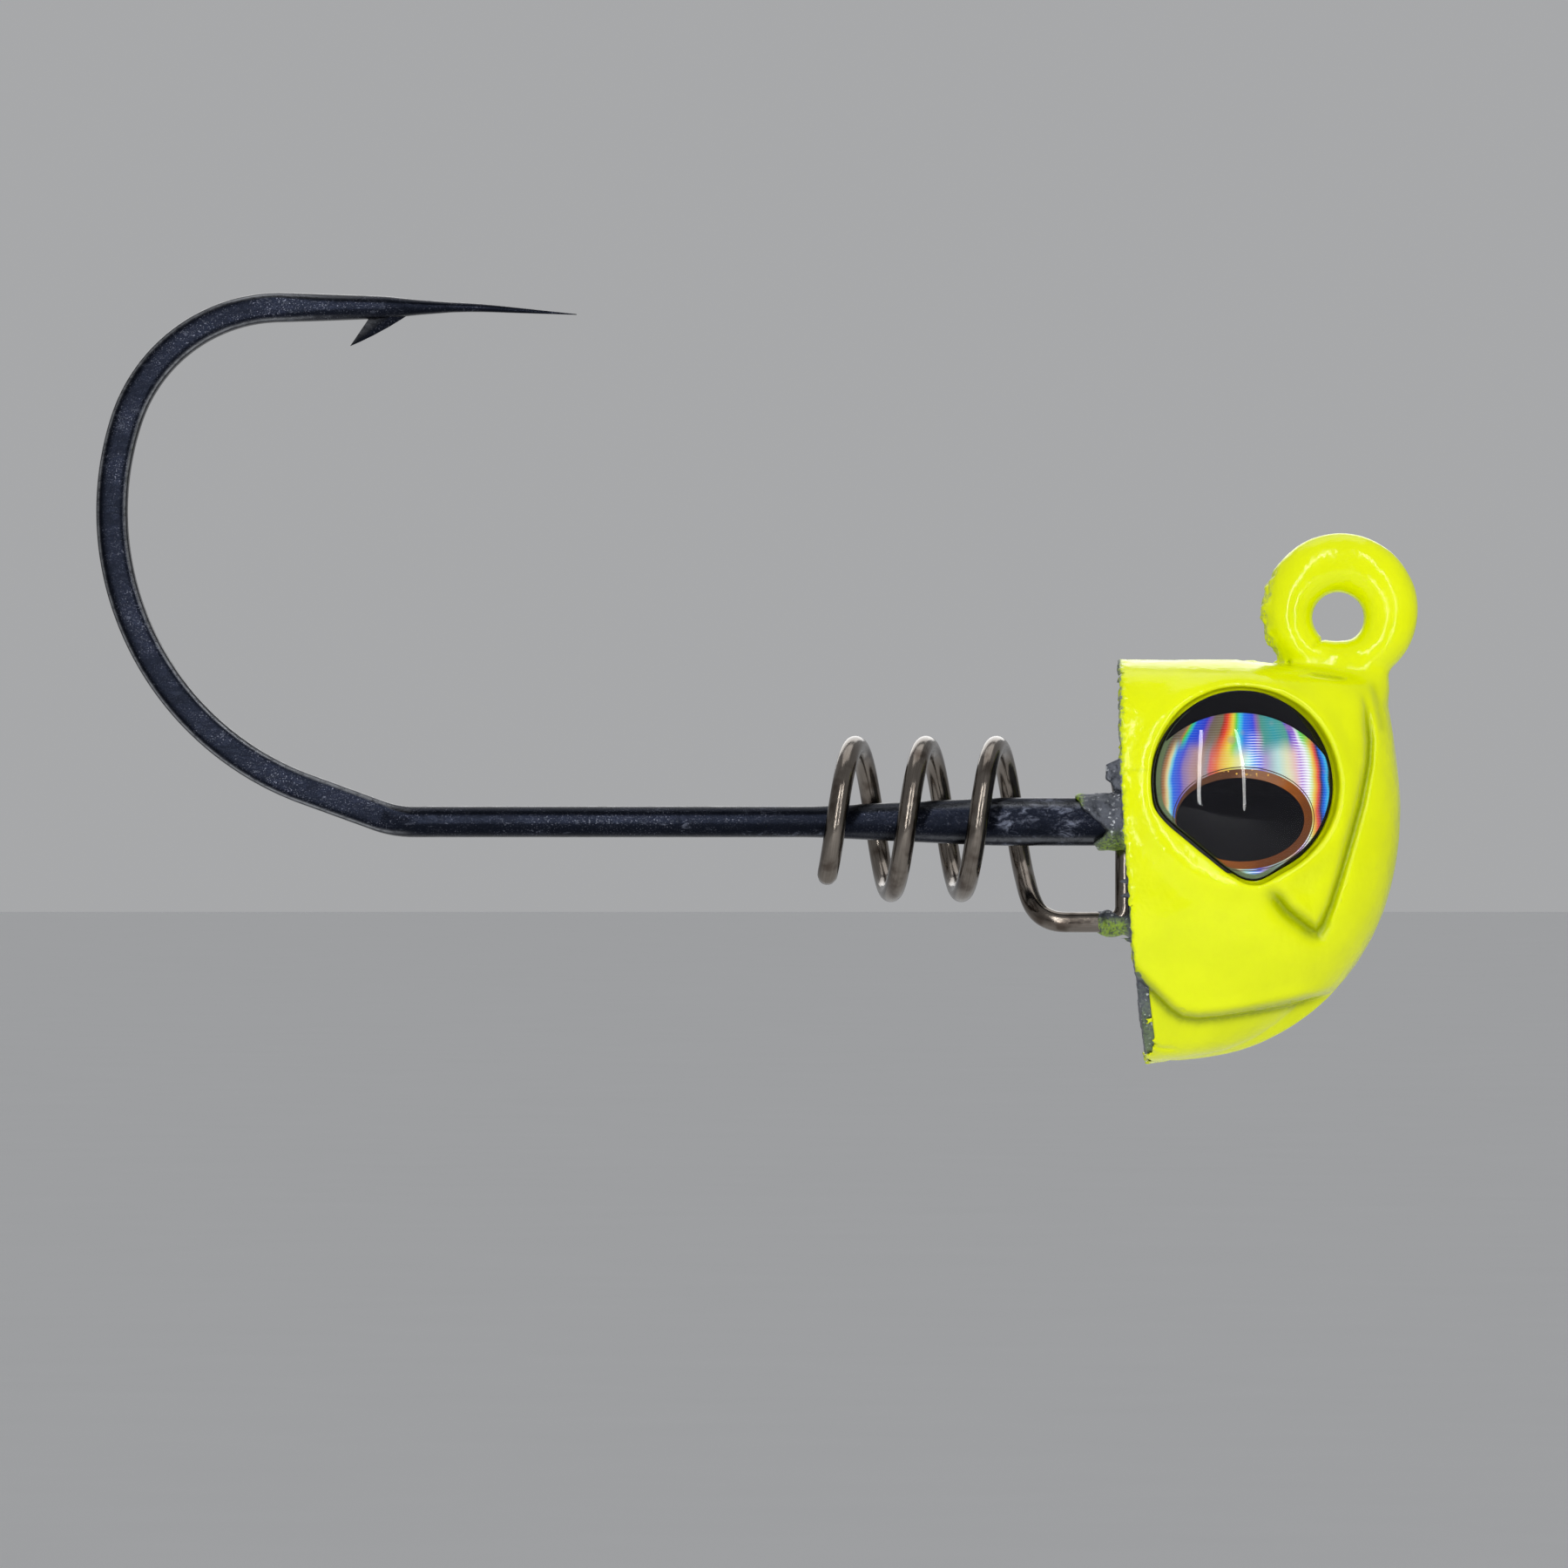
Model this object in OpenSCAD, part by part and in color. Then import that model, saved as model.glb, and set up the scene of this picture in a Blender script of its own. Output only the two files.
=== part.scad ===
/* Swimbait jig head: a chartreuse powder-coated lead fish head cast on a long
   hook, with a screw-in bait keeper round the shank and a domed eye each side.

   Units are millimetres. The origin is the centre of the line-tie hole.
   +X runs to the nose, +Z to the hook-point side and +Y to the fish's left. */

/* [Head casting] */
// Painted width across the cheeks
head_width = 10.6; // [9.6:0.1:12]
// Height of the flat crown, seen from the line-tie hole
crown_z = -1.65; // [-1.9:0.05:-1.5]
// Height of the chin's lowest point
chin_z = -17.4; // [-18:0.1:-16.8]
// Height at which the head is longest and widest
cheek_z = -7.5; // [-8.2:0.1:-6.8]
// Foremost point of the nose
nose_x = 2.42; // [2.1:0.02:2.7]
// Flat back face of the casting, above the cheek
back_x = -8.45; // [-8.8:0.05:-8.2]
// How far the back face leans forward at the chin
back_lean = 0.95; // [0:0.05:1.4]
// Fall of the crown from the middle of the head to the nose
crown_fall = 0.75; // [0:0.05:1]
// Thickness of the powder coat
coat_t = 0.12; // [0.08:0.01:0.2]

/* [Line tie] */
// Radius of the line hole through the coat
line_hole_r = 0.97; // [0.8:0.01:1.1]
// Centre-line radius of the wire ring
ring_r = 2; // [1.9:0.05:2.2]
// Radius of the coated ring's section
ring_coat_r = 0.99; // [0.85:0.01:1.1]
// Offset of the ring's centre from the hole, forward and up
ring_offset = [0.1, 0.29];

/* [Hook] */
// Diameter of the hook wire
wire_d = 1.22; // [1:0.02:1.3]
// Height of the pressed shank section at the head
pressed_h = 1.88; // [1.4:0.02:2]
// Depth of the shank's centre line below the line-tie hole
shank_z = -7.96; // [-8.2:0.02:-7.7]
// Radius of the lower half of the bend
bend_r = 11.56; // [11:0.02:12]
// Radius of the upper half of the bend
point_bend_r = 6.33; // [5.8:0.02:6.6]
// Centre of the lower bend
bend_centre = [-36.33, 4.17];
// Sideways thickness of the forged bend
forged_t = 0.92; // [0.7:0.02:1.1]
// Tip of the point
tip = [-29.72, 11.85];
// Tip of the barb
barb_tip = [-38.59, 10.61];

/* [Bait keeper] */
// Diameter of the keeper wire
keeper_d = 0.8; // [0.6:0.05:0.9]
// Outside diameter of the keeper coil
keeper_od = 6.5; // [6.2:0.05:6.7]
// Advance of the coil in one turn
keeper_pitch = 2.75; // [2.4:0.05:3]
// Turns of the coil
keeper_turns = 2.9; // [2.9:0.01:3]
// Height of the leg that runs into the back of the head
leg_z = -11.88; // [-12.2:0.02:-11.6]

/* [Eyes] */
// Radius of the eye, the same for its pad, film and dome
eye_r = 3.5; // [3.2:0.05:3.6]
// Centre of the eye, along and up the head
eye_at = [-3.87, -6.45];
// Distance of the film's face from the middle of the head
eye_out = 4.28; // [4.1:0.02:4.4]
// How far the eye turns towards the nose
eye_yaw = 14; // [8:1:16]
// How far the eye tips towards the crown
eye_tip = 5; // [0:1:8]
// Height of the clear dome over the film
dome_h = 1.15; // [0.8:0.05:1.3]

/* [Hidden] */
$fn = 48;

wire_r = wire_d / 2;
keeper_r = keeper_d / 2;
coil_r = keeper_od / 2 - keeper_r;
coil_z = shank_z + 0.11;         // the coil rides a little above the shank's centre
coil_start_x = -20.2;            // where the helix would begin at the bottom of a turn
coil_start_a = 36;               // the free end is cut this far up its first turn

nose_top_back = 0.8;             // the nose falls back this far at the crown
nose_curve = 1.6;
chin_x = -7.4;                   // the chin's curve ends here, just ahead of the back face
chin_curve = 2.15;               // 2 is an ellipse, more is a fuller jaw
side_curve = 2.15;               // the same for the section across the cheeks
crown_reach = 6.3;               // heights over which the side walls close in
crown_curve = 2.6;
jaw_reach = 10.1;
jaw_curve = 2.2;
levels_up = 8;                   // rows of facets above and below the cheek
levels_down = 12;
row_steps = 24;                  // facets round the nose in each row

socket_r = eye_r + 0.14;
film_t = 0.1;
pad_t = 0.3;
socket_depth = film_t + pad_t;
far = 20;                        // longer than anything that it cuts

// ---- small helpers ------------------------------------------------------

function clamp01(t) = min(1, max(0, t));
function mix(a, b, t) = a + (b - a) * t;
function unit(v) = v / norm(v);
function power(v, e) = sign(v) * pow(abs(v), e);

// Points along an arc in the X-Z plane, from angle a0 to a1 in n steps
function arc_points(c, r, a0, a1, n) =
    [for (i = [0:n]) let (a = mix(a0, a1, i / n)) [c[0] + r * cos(a), 0, c[1] + r * sin(a)]];

// Points on a cubic curve that leaves a along da and reaches b along db
function bezier_points(a, da, b, db, n) =
    [for (i = [1:n]) let (t = i / n, s = 1 - t)
        s * s * s * a + 3 * s * s * t * (a + da) + 3 * s * t * t * (b - db) + t * t * t * b];

// A tube along the path p, first section lined up with n0. Section i is
// size[i] = [half height along the normal, half width, squareness].
// A squareness of 1 is an ellipse and 0.5 a rounded bar.
module sweep(p, n0, size, sides) {
    last = len(p) - 1;
    t = [for (i = [0:last]) unit(p[min(i + 1, last)] - p[max(i - 1, 0)])];
    n = [for (i = 0, v = unit(n0 - (n0 * t[0]) * t[0]); i <= last;
              i = i + 1, v = i <= last ? unit(v - (v * t[i]) * t[i]) : v) v];
    skin = [for (i = [0:last]) let (b = cross(t[i], n[i])) for (k = [0:sides - 1])
        let (a = 360 * (k + 0.5) / sides)
        p[i] + n[i] * size[i][0] * power(cos(a), size[i][2])
             + b * size[i][1] * power(sin(a), size[i][2])];
    walls = [for (i = [0:last - 1]) for (k = [0:sides - 1])
        let (a = i * sides + k, b = i * sides + (k + 1) % sides) each
        [[a, b, b + sides], [a, b + sides, a + sides]]];
    ends = [[for (k = [sides - 1:-1:0]) k], [for (k = [0:sides - 1]) last * sides + k]];
    polyhedron(skin, concat([for (f = walls) [f[2], f[1], f[0]]],
                            [for (f = ends) [for (k = [len(f) - 1:-1:0]) f[k]]]));
}

// ---- head form ----------------------------------------------------------

// Foremost point of the head at height z
function front_at(z) = z > cheek_z
    ? nose_x - nose_top_back * pow((z - cheek_z) / (crown_z - cheek_z), nose_curve)
    : mix(chin_x, nose_x, pow(max(0, 1 - pow((cheek_z - z) / (cheek_z - chin_z + 0.03), chin_curve)),
                              1 / chin_curve));

// Half width of the head's back at height z
function half_width_at(z) = let (
    u = z > cheek_z ? (z - cheek_z) / crown_reach : (cheek_z - z) / jaw_reach,
    e = z > cheek_z ? crown_curve : jaw_curve)
    head_width / 2 * pow(1 - pow(u, e), 1 / e);

// Back face at height z: upright above the cheek, leaning forward to the chin
function back_at(z) = back_x + back_lean * pow(clamp01((-4 - z) / (-4 - chin_z)), 2);

// The crown dips towards the nose, and the dip fades out at the brow
function crown_dip(x, z) = crown_fall * clamp01((x + 4) / 5.8) * pow(clamp01((z + 5) / (crown_z + 5)), 2);

// Head solid, drawn in by `inset` all round and starting `back_in` ahead of
// the back face. Rows of points run from the left cheek round the nose.
module head_solid(inset, back_in) {
    top = crown_z - inset;
    low = chin_z + inset;
    rows = concat([for (i = [levels_down:-1:1]) cheek_z - (cheek_z - low) * sin(90 * i / levels_down)],
                  [for (i = [0:levels_up]) cheek_z + (top - cheek_z) * sin(90 * i / levels_up)]);
    across = row_steps + 1;
    last = len(rows) - 1;
    points = [for (z = rows) let (x0 = back_at(z) + back_in, x1 = front_at(z) - inset,
                                  w = half_width_at(z) - inset)
        for (k = [0:row_steps]) let (a = 180 * k / row_steps,
            x = x0 + (x1 - x0) * pow(sin(a), 2 / side_curve))
            [x, w * power(cos(a), 2 / side_curve), z - crown_dip(x, z)]];
    side = [for (i = [0:last - 1]) for (k = [0:row_steps])
        let (a = i * across + k, b = i * across + (k + 1) % across) each
        [[a, b, b + across], [a, b + across, a + across]]];
    // Each cap is closed by strips that run straight across the head
    caps = [for (r = [0, last]) for (k = [0:row_steps / 2 - 1])
        let (a = r * across + k, d = r * across + row_steps - k, up = r == last) each
        k == row_steps / 2 - 1
            ? [up ? [a, a + 1, d] : [d, a + 1, a]]
            : (up ? [[a, a + 1, d - 1], [a, d - 1, d]] : [[d - 1, a + 1, a], [d, d - 1, a]])];
    polyhedron(points, concat(side, caps));
}

// Places children at an eye: +Z out of the head, `mirrored` for the left side
module at_eye(left) {
    mirror([0, left ? 1 : 0, 0])
        translate([eye_at[0], -eye_out, eye_at[1]])
            rotate([0, 0, eye_yaw])
                rotate([90 - eye_tip, 0, 0])
                    children();
}

module socket(r, depth) {
    translate([0, 0, -depth]) cylinder(r = r, h = depth + far);
}

// Lead body with its two eye sockets, before the wires are cast in
module lead_body() {
    difference() {
        head_solid(coat_t, 0);
        for (left = [false, true])
            at_eye(left) socket(socket_r + coat_t, socket_depth + coat_t);
    }
}

// ---- hook ---------------------------------------------------------------

// Sections of the wire: half height, half width, squareness
round_size = [wire_r, wire_r, 1];
stem_end_size = [0.52, 0.52, 1]; // slimmer than the ring's wire, which it runs into
bend_end_size = [0.58, 0.52, 0.8];
pressed_size = [pressed_h / 2, 0.55, 0.85];
forged_size = [wire_r, forged_t / 2, 0.62];
stem_x = ring_offset[0];
stem_bend = 1.8;                 // radius of the turn from the shank up to the ring
meet_a = 161.8;                  // the two bend arcs meet at this angle
ramp_a = 20;                     // slope of the wire where the bend leaves the shank
ramp_blend = 4;
point_bend_centre = bend_centre + (bend_r - point_bend_r) * [cos(meet_a), sin(meet_a)];
ramp_top = bend_centre + bend_r * [cos(270 - ramp_a), sin(270 - ramp_a)];
ramp_run = (ramp_top[1] - shank_z) / tan(ramp_a);
shank_end = ramp_top[0] + ramp_run;
blend_centre = [shank_end + ramp_blend * tan(ramp_a / 2), shank_z + ramp_blend];

point_root = [point_bend_centre[0], point_bend_centre[1] + point_bend_r];

// Stations of the hook: [point, section], from the ring's stem to the tip
function stations(points, s0, s1) =
    [for (i = [0:len(points) - 1]) [points[i], mix(s0, s1, i / max(1, len(points) - 1))]];

// Point on the hook's centre line, d past the top of the bend
function past_bend(d, drop = 0) = [point_root[0] + d, 0, point_root[1] - drop];

hook_stations = concat(
    stations([[stem_x, 0, ring_offset[1] - ring_r]], stem_end_size, stem_end_size),
    stations(arc_points([stem_x - stem_bend, shank_z + stem_bend], stem_bend, 0, -90, 8),
             round_size, round_size),
    stations([[-4, 0, shank_z], [-6.5, 0, shank_z]], round_size, pressed_size),
    stations([[-13.4, 0, shank_z], [-16, 0, shank_z], [-18.2, 0, shank_z], [-20.5, 0, shank_z]],
             pressed_size, round_size),
    stations([[-28, 0, shank_z]], round_size, round_size),
    stations(arc_points(blend_centre, ramp_blend, 270, 270 - ramp_a, 4), round_size, forged_size),
    stations(arc_points(bend_centre, bend_r, 270 - ramp_a, meet_a, 24), forged_size, forged_size),
    stations(arc_points(point_bend_centre, point_bend_r, meet_a - 4, 90, 17),
             forged_size, bend_end_size),
    stations([past_bend(1.7), past_bend(4.1)], [0.53, 0.52, 0.9], [0.44, 0.46, 1]),
    stations([past_bend(5.4), past_bend(6.7)], [0.3, 0.36, 1], [0.2, 0.26, 1]),
    stations([past_bend(9, 0.1), [tip[0], 0, tip[1]]], [0.12, 0.14, 1], [0.015, 0.015, 1]));

module hook_wire() {
    sweep([for (s = hook_stations) s[0]], [1, 0, 0], [for (s = hook_stations) s[1]], 16);
}

module wire_ring(r) {
    translate([ring_offset[0], 0, ring_offset[1]])
        rotate([90, 0, 0])
            rotate_extrude() translate([ring_r, 0]) circle(r = r);
}

// Sliver raised from the underside of the point
module barb() {
    translate([0, 0.14, 0])
        rotate([90, 0, 0])
            linear_extrude(0.28)
                polygon([barb_tip, barb_tip + [0.78, 1.15], barb_tip + [2.3, 1.35], barb_tip + [2.1, 1.1]]);
}

module hook() {
    color("#1d2026") {
        hook_wire();
        wire_ring(wire_r);
        barb();
    }
}

// ---- bait keeper --------------------------------------------------------

function coil_point(a) = [coil_start_x + keeper_pitch * a / 360,
                          -coil_r * sin(a), coil_z - coil_r * cos(a)];
coil_end_a = 360 * keeper_turns;
coil_step = 15;
coil_exit = unit(coil_point(coil_end_a) - coil_point(coil_end_a - 1));
leg_bend = 0.6;
rise_x = -8.3;                   // the keeper climbs the back face half sunk in the lead
leg_start = [-10.6, 0, leg_z];
rise_top = [rise_x, 0, shank_z - 1.75];
beside_shank = [rise_x, 1.02, shank_z];
keeper_end = [rise_x - 0.2, 0.35, shank_z + 1.75];

keeper_path = concat(
    [for (a = [coil_start_a:coil_step:coil_end_a]) coil_point(a)],
    bezier_points(coil_point(coil_end_a), 1.3 * coil_exit, leg_start, [1.3, 0, 0], 9),
    [[-9.6, 0, leg_z]],
    arc_points([rise_x - leg_bend, leg_z + leg_bend], leg_bend, -90, 0, 5),
    [rise_top],
    bezier_points(rise_top, [0, 0, 0.8], beside_shank, [0, 0, 0.5], 5),
    bezier_points(beside_shank, [0, 0, 0.5], keeper_end, [-0.1, -0.3, 0.5], 5));

module keeper_wire() {
    sweep(keeper_path, [1, 0, 0], [for (q = keeper_path) [keeper_r, keeper_r, 1]], 12);
}

module keeper_spring() {
    color("#8f8578") keeper_wire();
}

// ---- casting and coat ---------------------------------------------------

// Lead that ran back along the shank, cut off aslant
module shank_collar() {
    difference() {
        translate([-10.27, 0, shank_z]) rotate([0, 90, 0]) cylinder(r = 1.12, h = 3);
        translate([-9.4, 0, shank_z - 1.2]) rotate([0, -22, 0])
            translate([-far / 2, 0, 0]) cube(far, center = true);
    }
}

module leg_collar() {
    translate([-9.35, 0, leg_z - 0.05]) rotate([0, 90, 0]) cylinder(r = 0.52, h = 2.2);
}

// Flash over the keeper's upper end
module keeper_flash() {
    translate([keeper_end[0] - 0.05, 0.2, keeper_end[2] - 0.1]) sphere(r = 0.6);
}

module lead_head() {
    color("#7d8084")
        difference() {
            union() {
                lead_body();
                shank_collar();
                leg_collar();
                keeper_flash();
            }
            hook_wire();
            keeper_wire();
        }
}

module head_coat() {
    color("#d6f000")
        difference() {
            head_solid(0, 0.15);
            lead_body();
            for (left = [false, true]) at_eye(left) socket(socket_r, socket_depth);
            hook_wire();
        }
}

// Web of paint that narrows the hole, and the filleted foot on the crown
module ring_foot() {
    foot = [[-2.45, -2.3], [-2.35, -1.6], [-1.9, -1.3], [-1.2, -0.9],
            [1.2, -0.9], [1.55, -1.6], [1.65, -2.8], [-2.3, -2.8]];
    translate([0, 0.8, 0])
        rotate([90, 0, 0])
            linear_extrude(1.6) polygon(foot);
}

module ring_coat() {
    color("#e2ff00")
        difference() {
            union() {
                wire_ring(ring_coat_r);
                rotate([90, 0, 0]) cylinder(r = 1.5, h = 1.1, center = true);
                ring_foot();
            }
            rotate([90, 0, 0]) cylinder(r = line_hole_r, h = far, center = true);
            wire_ring(wire_r);
            hook_wire();
            head_solid(0, 0.15);
        }
}

// ---- eyes ---------------------------------------------------------------

module eye_pad(left) {
    color("#0b0b0c")
        at_eye(left) translate([0, 0, -socket_depth]) cylinder(r = eye_r, h = pad_t);
}

module eye_film(left) {
    color("#9fb6e0")
        at_eye(left) translate([0, 0, -film_t]) cylinder(r = eye_r, h = film_t);
}

// Clear dome: a spherical cap on the film
module eye_lens(left) {
    cap_r = (eye_r * eye_r + dome_h * dome_h) / (2 * dome_h);
    color("#dfe8f2", 0.35)
        at_eye(left)
            intersection() {
                translate([0, 0, dome_h - cap_r]) sphere(r = cap_r, $fn = 96);
                cylinder(r = eye_r + 1, h = dome_h + 1);
            }
}

hook();
keeper_spring();
lead_head();
head_coat();
ring_coat();
eye_pad(false);  // right_eye_pad
eye_film(false);  // right_eye_film
eye_lens(false);  // right_eye_lens
eye_pad(true);  // left_eye_pad
eye_film(true);  // left_eye_film
eye_lens(true);  // left_eye_lens
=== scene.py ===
"""Looks of the swimbait jig head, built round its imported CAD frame.

Shapes are worked out in millimetres, in the CAD's own axes: the origin is the centre of the
line-tie hole, +X runs to the nose, +Z to the hook-point side and -Y towards the viewer.
Each mesh is turned into metres as it is made.
"""

import math

import bpy
import numpy as np
from mathutils import Matrix, Vector


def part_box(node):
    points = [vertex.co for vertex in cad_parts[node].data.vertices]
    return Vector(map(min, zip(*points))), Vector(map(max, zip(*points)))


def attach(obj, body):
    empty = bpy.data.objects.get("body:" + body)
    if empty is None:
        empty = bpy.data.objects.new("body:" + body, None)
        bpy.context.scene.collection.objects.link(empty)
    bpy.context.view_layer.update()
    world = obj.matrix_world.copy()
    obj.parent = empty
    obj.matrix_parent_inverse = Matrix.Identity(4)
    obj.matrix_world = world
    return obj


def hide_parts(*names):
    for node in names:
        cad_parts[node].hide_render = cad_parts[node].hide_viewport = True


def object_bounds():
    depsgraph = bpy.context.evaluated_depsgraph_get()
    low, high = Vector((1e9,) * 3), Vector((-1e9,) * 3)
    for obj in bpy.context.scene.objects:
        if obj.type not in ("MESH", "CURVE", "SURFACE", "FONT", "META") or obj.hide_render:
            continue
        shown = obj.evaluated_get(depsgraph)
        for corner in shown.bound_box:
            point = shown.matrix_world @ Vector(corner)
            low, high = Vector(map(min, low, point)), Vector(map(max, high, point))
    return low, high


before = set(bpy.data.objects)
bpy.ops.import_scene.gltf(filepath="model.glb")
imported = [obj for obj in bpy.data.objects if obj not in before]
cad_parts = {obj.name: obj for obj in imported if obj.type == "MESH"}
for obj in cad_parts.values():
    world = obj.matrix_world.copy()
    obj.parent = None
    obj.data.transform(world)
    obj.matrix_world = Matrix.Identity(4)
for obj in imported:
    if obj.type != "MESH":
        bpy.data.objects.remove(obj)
CAD_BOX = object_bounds()

MM = 0.001
CORNERS = [(i, j, k) for i in (0, 1) for j in (0, 1) for k in (0, 1)]


def cad_box(node):
    """Lowest and highest corner of a CAD node, in millimetres."""
    lo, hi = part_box(node)
    return np.array(lo) / MM, np.array(hi) / MM


# ---- small numeric tools ----

def smooth_min(a, b, k):
    h = np.maximum(k - np.abs(a - b), 0.0) / k
    return np.minimum(a, b) - h * h * k / 4


def smooth_max(a, b, k):
    return -smooth_min(-a, -b, k)


def step(lo, hi, v):
    t = np.clip((v - lo) / (hi - lo), 0.0, 1.0)
    return t * t * (3 - 2 * t)


def bump(d, width):
    return np.exp(-(d / width) ** 2)


def lattice(ix, iy, iz, seed):
    """A fixed pseudo-random value from 0 to 1 for each whole-numbered point."""
    h = (ix * 374761393 + iy * 668265263 + iz * 2147483647 + seed * 1274126177) & 0x7FFFFFFF
    h = ((h ^ (h >> 13)) * 1103515245) & 0x7FFFFFFF
    return ((h ^ (h >> 16)) & 0xFFFF) / 65535.0


def noise(p, size, seed=0):
    """Smooth noise from -1 to 1, with lumps about `size` across."""
    q = p / size
    cell = np.floor(q).astype(np.int64)
    f = q - cell
    f = f * f * (3 - 2 * f)
    total = 0.0
    for corner in CORNERS:
        w = np.abs(1 - np.array(corner) - f)
        total = total + w[:, 0] * w[:, 1] * w[:, 2] * lattice(*(cell + corner).T, seed)
    return 2 * total - 1


def along_line(x, z, line):
    """Distance to a polyline in the X-Z plane, how far along it, and the side (+ on its left)."""
    best = np.full(x.shape, 1e9)
    where = np.zeros(x.shape)
    side = np.ones(x.shape)
    run = 0.0
    for (x0, z0), (x1, z1) in zip(line[:-1], line[1:]):
        ex, ez = x1 - x0, z1 - z0
        length = math.hypot(ex, ez)
        t = np.clip(((x - x0) * ex + (z - z0) * ez) / length ** 2, 0, 1)
        d = np.hypot(x - x0 - t * ex, z - z0 - t * ez)
        closer = d < best
        best = np.where(closer, d, best)
        where = np.where(closer, run + t * length, where)
        side = np.where(closer, np.sign(ex * (z - z0) - ez * (x - x0) + 1e-12), side)
        run += length
    return best, where, side, run


# ---- head form, the same as the CAD's ----

HEAD_LO, HEAD_HI = cad_box("head_coat")
LEAD_LO, LEAD_HI = cad_box("lead_head")
CROWN_Z, CHIN_Z = HEAD_HI[2], HEAD_LO[2]
HALF_WIDTH = (HEAD_HI[1] - HEAD_LO[1]) / 2
NOSE_X = HEAD_HI[0]
BACK_X = HEAD_LO[0] - 0.15  # raw back face; the CAD coat starts this far ahead of it
COAT_T = 0.12
COAT_LIP = 0.03  # the coat's lip stands at least this far behind the raw face
CHEEK_Z = -7.5
BACK_LEAN = 0.95
CHIN_X = -7.4
NOSE_TOP_BACK, NOSE_CURVE = 0.8, 1.6
CHIN_CURVE = SIDE_CURVE = 2.15
CROWN_REACH, CROWN_CURVE = 6.3, 2.6
JAW_REACH, JAW_CURVE = 10.1, 2.2
CROWN_FALL = 0.75


def front_at(z):
    up = NOSE_X - NOSE_TOP_BACK * np.clip((z - CHEEK_Z) / (CROWN_Z - CHEEK_Z), 0, 2) ** NOSE_CURVE
    u = np.clip((CHEEK_Z - z) / (CHEEK_Z - CHIN_Z + 0.03), 0, 0.9999)
    down = CHIN_X + (NOSE_X - CHIN_X) * (1 - u ** CHIN_CURVE) ** (1 / CHIN_CURVE)
    return np.where(z > CHEEK_Z, up, down)


def half_width_at(z):
    up = (1 - np.clip((z - CHEEK_Z) / CROWN_REACH, 0, 0.995) ** CROWN_CURVE) ** (1 / CROWN_CURVE)
    down = (1 - np.clip((CHEEK_Z - z) / JAW_REACH, 0, 0.995) ** JAW_CURVE) ** (1 / JAW_CURVE)
    return HALF_WIDTH * np.where(z > CHEEK_Z, up, down)


def back_at(z):
    return BACK_X + BACK_LEAN * np.clip((-4 - z) / (-4 - CHIN_Z), 0, 1) ** 2


def crown_dip(x, z):
    return (CROWN_FALL * np.clip((x + 4) / 5.8, 0, 1)
            * np.clip((z + 5) / (CROWN_Z + 5), 0, 1) ** 2)


def head_wall(p, inset):
    """Signed distance to the head's plain form without its back face, drawn in by `inset`."""
    def roundness(x, y, z):
        z = z + crown_dip(x, z)
        x0 = back_at(z)
        fx = np.maximum(x - x0, 0) / np.maximum(front_at(z) - inset - x0, 0.05)
        fy = np.abs(y) / np.maximum(half_width_at(z) - inset, 0.05)
        return (fx ** SIDE_CURVE + fy ** SIDE_CURVE + 1e-9) ** (1 / SIDE_CURVE) - 1
    x, y, z = p.T
    e = 0.02
    g = roundness(x, y, z)
    gx = (roundness(x + e, y, z) - g) / e
    gy = (roundness(x, y + e, z) - g) / e
    gz = (roundness(x, y, z + e) - g) / e
    wall = g / np.sqrt(gx * gx + gy * gy + gz * gz + 1e-4)
    level = z + crown_dip(x, z)
    d = smooth_max(wall, level - (CROWN_Z - inset), 0.9)
    return smooth_max(d, CHIN_Z + inset - z, 0.7)


# ---- eyes: where they sit ----

EYE_YAW, EYE_TIP = 14, 5  # degrees, towards the nose and towards the crown
EYE_R = 3.55
EYE_SHIFT = 0.12  # the eyes sit this far ahead of the CAD ones
FILM_T = 0.1
DOME_H = 1.15
SOCKET_R = EYE_R + 0.15
SOCKET_DEPTH = 0.4


def eye_matrix(side):
    """Eye space to head space: +X along the head, +Y up it and +Z out of it."""
    lo, hi = cad_box(side + "_eye_film")
    out = (Matrix.Rotation(math.radians(EYE_YAW), 4, "Z")
           @ Matrix.Rotation(math.radians(90 - EYE_TIP), 4, "X"))
    if side == "left":
        out = Matrix.Scale(-1, 4, Vector((0, 1, 0))) @ out
    normal = out.to_3x3() @ Vector((0, 0, 1))
    centre = Vector((lo + hi) / 2) + normal * FILM_T / 2 + Vector((EYE_SHIFT, 0, 0))
    return Matrix.Translation(centre) @ out


EYES = {side: eye_matrix(side) for side in ("right", "left")}


def moved(points, matrix):
    m = np.array(matrix)
    return points @ m[:3, :3].T + m[:3, 3]


def to_eye(p, side):
    return moved(p, EYES[side].inverted())


# The resin ran down a little in each socket, more in the right one
EYE_RUN = {"right": 1.0, "left": 0.45}


def rim(angle, side):
    """How far out an eye's outline is at an angle, as a share of its radius.

    A straight chord cuts it off behind, and it is drawn to a blunt V at the bottom.
    """
    a = np.degrees(angle) % 360
    run = EYE_RUN[side]
    facing = np.cos(np.radians(a - 230.5))
    chord = (1.015 - 0.145 * run) / np.maximum(facing, 0.3)
    return smooth_min(1.015, chord, 0.1) + run * 0.062 * bump(a - 276, 11)


def past_rim(q, side, radius):
    """How far points in eye space are outside an eye's outline of some radius."""
    return np.hypot(q[:, 0], q[:, 1]) - radius * rim(np.arctan2(q[:, 1], q[:, 0]), side)


def socket_distance(p):
    """Distance to both eye sockets, each a round pocket open to the outside."""
    d = np.full(len(p), 1e9)
    for side in EYES:
        q = to_eye(p, side)
        d = np.minimum(d, smooth_max(past_rim(q, side, SOCKET_R), -(q[:, 2] + SOCKET_DEPTH), 0.15))
    return d


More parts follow.
